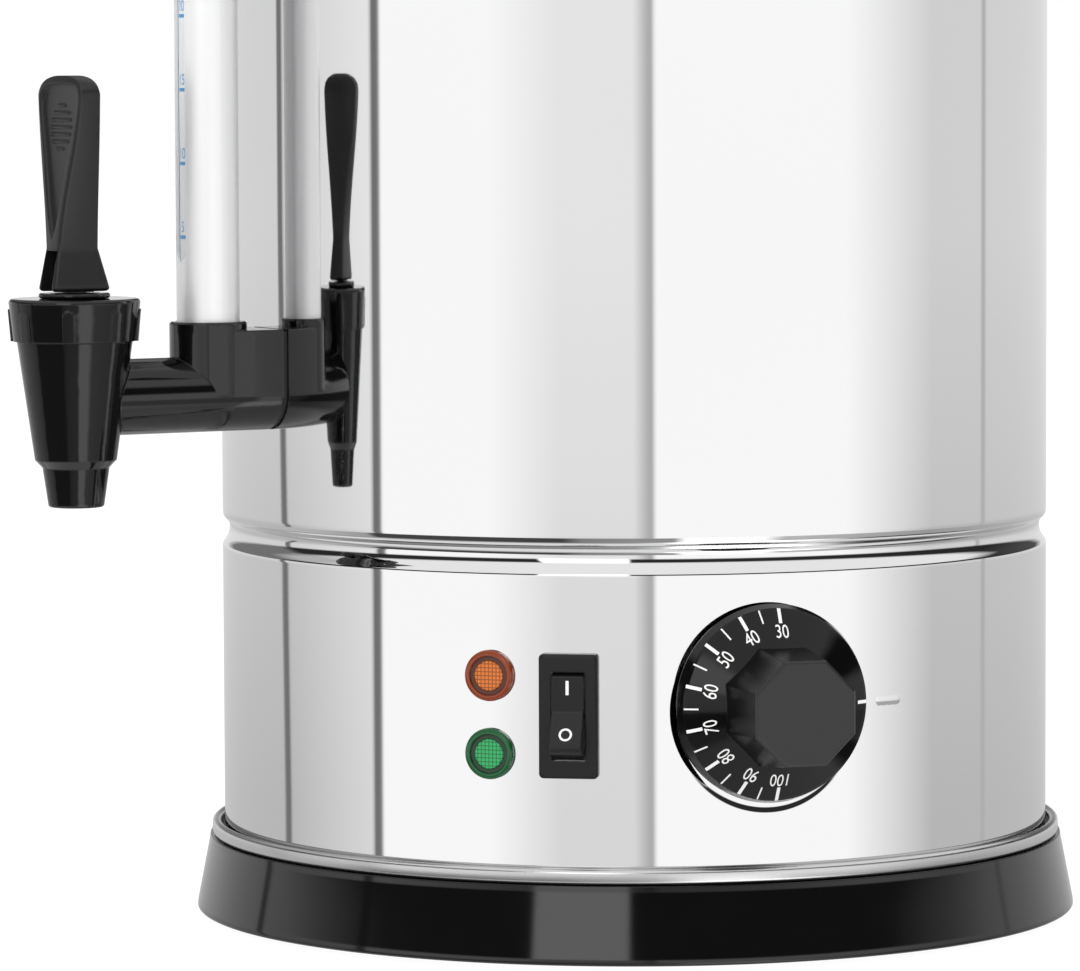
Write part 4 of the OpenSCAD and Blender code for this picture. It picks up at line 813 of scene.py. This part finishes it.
def coil_height(turn):
    """The wire's height at a turn: closed turns at both ends, an even rise between them."""
    dead = coil_dead * 2 * coil_wire
    if turn < coil_dead:
        return coil_low + 2 * coil_wire * turn
    if turn > coil_turns - coil_dead:
        return coil_top - 2 * coil_wire * (coil_turns - turn)
    rise = coil_top - coil_low - 2 * dead
    return coil_low + dead + rise * (turn - coil_dead) / (coil_turns - 2 * coil_dead)


verts, faces = [], []
total = int(coil_turns * coil_steps)
for k in range(total + 1):
    angle = 2 * math.pi * k / coil_steps
    height = coil_height(k / coil_steps)
    for side in range(coil_sides):
        around_wire = 2 * math.pi * side / coil_sides
        r = coil_r + coil_wire * math.cos(around_wire)
        verts.append((
            r * math.cos(angle) / 1000,
            (tap_y + r * math.sin(angle)) / 1000,
            (height + coil_wire * math.sin(around_wire)) / 1000,
        ))
for k in range(total):
    for side in range(coil_sides):
        after = (side + 1) % coil_sides
        low_ring, high_ring = k * coil_sides, (k + 1) * coil_sides
        faces.append((low_ring + side, high_ring + side, high_ring + after, low_ring + after))
faces.append(tuple(range(coil_sides)))
faces.append(tuple(reversed(range(total * coil_sides, (total + 1) * coil_sides))))
coil_spring = mesh_piece("coil_spring", verts, faces, "urn", satin_steel)
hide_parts("valve_spring")
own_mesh(coil_spring)

# ---- Lever ----
# A dark grey moulded lever: a slotted fork on a cross pin, a drawn-in waist and a blade that flares
# to a domed top, with a thumb panel sunk into its front and seven ridges across the panel.
lever_grey = finish("lever_grey", (0.0062, 0.0062, 0.0064), 0.40, spread=0.05, edge=0.0004)
lever_z, lever_top, waist, blade_top = 169.3, 54.5, 10.9, 49.7
foot_round = 0.9
fork_half, fork_deep = 5.0, 7.9
waist_half, waist_front, waist_back = 4.0, 6.2, 5.2
blade_half, blade_front, blade_back = 12.6, 3.9, 2.0
dome_power = 2.6


def lever_section(h):
    """Half width, front and back (towards the user positive) of the lever at a height."""
    if h <= waist:
        s = max(0.0, (h - foot_round) / (waist - foot_round))
        return (fork_half + (waist_half - fork_half) * s, fork_deep + (waist_front - fork_deep) * s,
                fork_deep + (waist_back - fork_deep) * s)
    if h > blade_top:
        s = (h - blade_top) / (lever_top - blade_top)
        half = blade_half * max(0.0, 1 - s ** dome_power) ** (1 / dome_power)
        return half, blade_front - 0.9 * s, blade_back - 0.9 * s
    u = (h - waist) / (blade_top - waist)
    v = (u + 0.5 - 0.5 * math.cos(math.pi * u)) / 2
    return (waist_half + (blade_half - waist_half) * v, waist_front + (blade_front - waist_front) * v,
            waist_back + (blade_back - waist_back) * v)


def lofted(rings):
    """A closed loft through rings of equal length: (vertices, faces)."""
    count = len(rings[0])
    verts = [p for line in rings for p in line]
    faces = [tuple(range(count))[::-1], tuple(range(len(verts) - count, len(verts)))]
    for k in range(len(rings) - 1):
        for i in range(count):
            j = (i + 1) % count
            faces.append((k * count + i, k * count + j, (k + 1) * count + j, (k + 1) * count + i))
    return verts, faces


def lever_ring(h, inset=0.0):
    """The lever's outline at a height, with rounded corners."""
    half, front, back = (v - inset for v in lever_section(h))
    up_blade = min(1.0, max(0.0, (h - waist) / (blade_top - waist)))
    r = min(1.2 - 0.4 * up_blade, half * 0.98, (front + back) * 0.49)
    line = []
    for cx, cy, start in ((half - r, back - r, 0), (r - half, back - r, 90),
                          (r - half, r - front, 180), (half - r, r - front, 270)):
        for k in range(6):
            a = math.radians(start + 18 * k)
            line.append((cx + r * math.cos(a), cy + r * math.sin(a), h))
    return line


rings = [lever_ring(foot_round * (1 - math.sin(math.radians(a))),
                    foot_round * (1 - math.cos(math.radians(a)))) for a in range(90, -1, -18)]
rings += [lever_ring(foot_round + (waist - foot_round) * i / 8) for i in range(1, 8)]
rings += [lever_ring(waist + (blade_top - waist) * i / 30) for i in range(31)]
rings += [lever_ring(blade_top + (lever_top - blade_top) * math.sin(math.radians(a)))
          for a in range(8, 85, 4)]
lever_place = Matrix.Translation((0, tap_y / 1000, lever_z / 1000))


def bare(name, verts, faces):
    """A mesh object for cutting, in metres from millimetres around the lever's foot."""
    mesh = bpy.data.meshes.new(name)
    mesh.from_pydata([lever_place @ (Vector(v) / 1000) for v in verts], [], faces)
    shape = bmesh.new()
    shape.from_mesh(mesh)
    bmesh.ops.recalc_face_normals(shape, faces=shape.faces)
    shape.to_mesh(mesh)
    shape.free()
    made = bpy.data.objects.new(name, mesh)
    bpy.context.scene.collection.objects.link(made)
    return made


def rod(radius, x0, x1, y, z, steps=48):
    """A bar with round ends across the lever: (vertices, faces)."""
    return lofted([[(x, y + radius * math.cos(2 * math.pi * k / steps),
                     z + radius * math.sin(2 * math.pi * k / steps)) for k in range(steps)]
                   for x in (x0, x1)])


def box(x0, x1, y0, y1, z0, z1):
    """A block for cutting: (vertices, faces)."""
    return lofted([[(x0, y0, z), (x1, y0, z), (x1, y1, z), (x0, y1, z)] for z in (z0, z1)])


blade_tilt = math.atan((waist_front - blade_front) / (blade_top - waist))
panel_up = Vector((0, math.sin(blade_tilt), math.cos(blade_tilt)))
panel_out = Vector((0, -math.cos(blade_tilt), math.sin(blade_tilt)))


def on_panel(x, y, lift):
    """A point on the blade's front: across it, up it from the waist, and out of it."""
    return tuple(Vector((x, -waist_front, waist)) + panel_up * y + panel_out * lift)


# the panel's outline at its rim and at its floor, from the point at the bottom up the right side
rim_side = through([(0.0, 2.2), (1.5, 4.6), (4.0, 11.5), (6.1, 19.0), (8.4, 27.0), (10.3, 33.0),
                    (11.1, 36.0), (11.0, 38.3), (9.9, 40.3), (7.6, 41.3), (4.0, 41.75), (0.0, 41.9)], 3)
floor_side = through([(0.0, 6.8), (0.85, 9.0), (2.9, 13.4), (4.9, 19.8), (7.15, 27.6), (9.05, 33.4),
                      (9.85, 36.1), (9.75, 37.8), (8.8, 39.4), (7.0, 40.15), (3.8, 40.5), (0.0, 40.6)], 3)


def cove_line(share, lift):
    """The recess's outline between its rim and its floor, at a height over the lever's front."""
    half_line = [(a * (1 - share) + c * share, b * (1 - share) + d * share)
                 for (a, b), (c, d) in zip(rim_side, floor_side)]
    return [on_panel(x, y, lift) for x, y in half_line + [(-x, y) for x, y in reversed(half_line[1:-1])]]


panel_deep = 1.2
cove = [cove_line(1 - math.sin(math.radians(a)), -panel_deep * math.cos(math.radians(a)))
        for a in range(0, 91, 15)]
cove.append(cove_line(0.0, 1.5))
# the slot over the stem's head and its cross pin, open to the front
slot_half, slot_r, pin_z, pin_r, pin_half = 3.4, 4.3, 6.0, 1.86, 4.15
cutters = [bare("cut_slot", *box(-slot_half, slot_half, -16, slot_r, -1, pin_z)),
           bare("cut_round", *rod(slot_r, -slot_half, slot_half, 0, pin_z)),
           bare("cut_front", *box(-slot_half, slot_half, -16, 0, pin_z - 0.1, pin_z + slot_r)),
           bare("cut_pin", *rod(pin_r, -pin_half, pin_half, 0, pin_z)),
           bare("cut_panel", *lofted(cove))]
blank = bare("lever_blank", *lofted(rings))
for cutter in cutters:
    step = blank.modifiers.new(cutter.name, "BOOLEAN")
    step.operation = "DIFFERENCE"
    step.solver = "EXACT"
    step.object = cutter
shape = bmesh.new()
shape.from_object(blank, bpy.context.evaluated_depsgraph_get())
# seven round-ended ridges across the panel, the middle one the longest
ridge_half, ridge_r, ridge_mid, ridge_pitch, ridge_lift = 6.15, 0.45, 30.7, 1.82, -1.35
for i in range(-3, 4):
    half = ridge_half * math.sqrt(1 - i * i / 10.6)
    lines = []
    for x, r in ((-half, 0.12), (-half + 0.15, 0.34), (-half + ridge_r, ridge_r),
                 (half - ridge_r, ridge_r), (half - 0.15, 0.34), (half, 0.12)):
        lines.append([on_panel(x, ridge_mid + ridge_pitch * i + r * math.cos(2 * math.pi * k / 20),
                               ridge_lift + r * math.sin(2 * math.pi * k / 20)) for k in range(20)])
    verts, faces = lofted(lines)
    corners = [shape.verts.new(lever_place @ (Vector(v) / 1000)) for v in verts]
    for face in faces:
        shape.faces.new([corners[c] for c in face])
bmesh.ops.recalc_face_normals(shape, faces=shape.faces)
lever_mesh = bpy.data.meshes.new("moulded_lever")
shape.to_mesh(lever_mesh)
shape.free()
for spare in cutters + [blank]:
    bpy.data.objects.remove(spare)
lever_mesh.shade_smooth()
lever_mesh.set_sharp_from_angle(angle=math.radians(40))
lever_mesh.materials.append(lever_grey)
lever = bpy.data.objects.new("moulded_lever", lever_mesh)
bpy.context.scene.collection.objects.link(lever)
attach(lever, "lever")
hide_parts("tap_lever")

# ---- Gauge ----
# A whitish glass tube stands in a satin aluminium guard tube with a sight slot, between silicone
# seals in the arm's socket and in a black holder screwed to the body. Its scale counts cups by
# fives, a blue bar and a blue number for each.
satin_aluminium = finish("satin_aluminium", (0.90, 0.90, 0.905), 0.42, metal=0.55, grain_height=0.000003,
                         spread=0.06, tint=0.02)
glass_white = finish("glass_white", (0.78, 0.81, 0.84), 0.10, grain_height=0.000003, spread=0.04,
                     tint=0.02, Transmission_Weight=0.15)
scale_blue = finish("scale_blue", (0.05, 0.25, 0.52), 0.35, tint=0.1)
gauge_y = -127.0
tube_r, neck_r, bore_r, tube_foot, tube_top = 7.04, 5.0, 3.8, 148.93, 354.97
tube_line = [(neck_r, tube_foot), (neck_r, 161.5), (tube_r, 164.5), (tube_r, 340.0), (neck_r, 343.0),
             (neck_r, tube_top), (bore_r, tube_top), (bore_r, tube_foot)]
sight = turned("glass_tube", tube_line, "urn", glass_white, 96, centre=(0, gauge_y), closed=True, sharp=40)
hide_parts("sight_tube")


def on_tube(z):
    """Maps a mark onto the glass tube's front, its middle at a height."""
    def put(x, y):
        r = tube_r + 0.02
        return r * math.sin(x / r), gauge_y - r * math.cos(x / r), z + y
    return put


scale_foot, scale_pitch, scale_count = 182.4, 18.8, 9
scale_marks = []
for k in range(scale_count):
    at = scale_foot + scale_pitch * k
    scale_marks.append((*bar(-1.75, 1.75, -0.45, 0.45), on_tube(at)))
    scale_marks.append((*letters(str(5 * k + 5), 2.9, 0.8), on_tube(at + 2.6)))
printed("scale", scale_marks, "urn", scale_blue, Matrix())
dress(satin_aluminium, "guard_tube")
dress(silicone, "gauge_low_seal", "gauge_top_seal")
dress(gloss_black, "gauge_holder")
dress(zinc, "holder_screw")

# ---- Carrying handles ----
# Two gloss black moulded handles on opposite sides, each held by two zinc-plated screws that come
# from inside the vessel through silicone washers.
dress(gloss_black, "left_handle", "right_handle")
dress(zinc, "handle_screws")
dress(silicone, "handle_washers")

# ---- Lid ----
# A pressed and polished steel lid that rests on the body's curled rim. Its black moulded knob is
# held by one screw and a washer from below.
dress(mirror_steel, "lid_cover")
dress(gloss_black, "lid_knob")
dress(zinc, "lid_screw", "lid_washer")
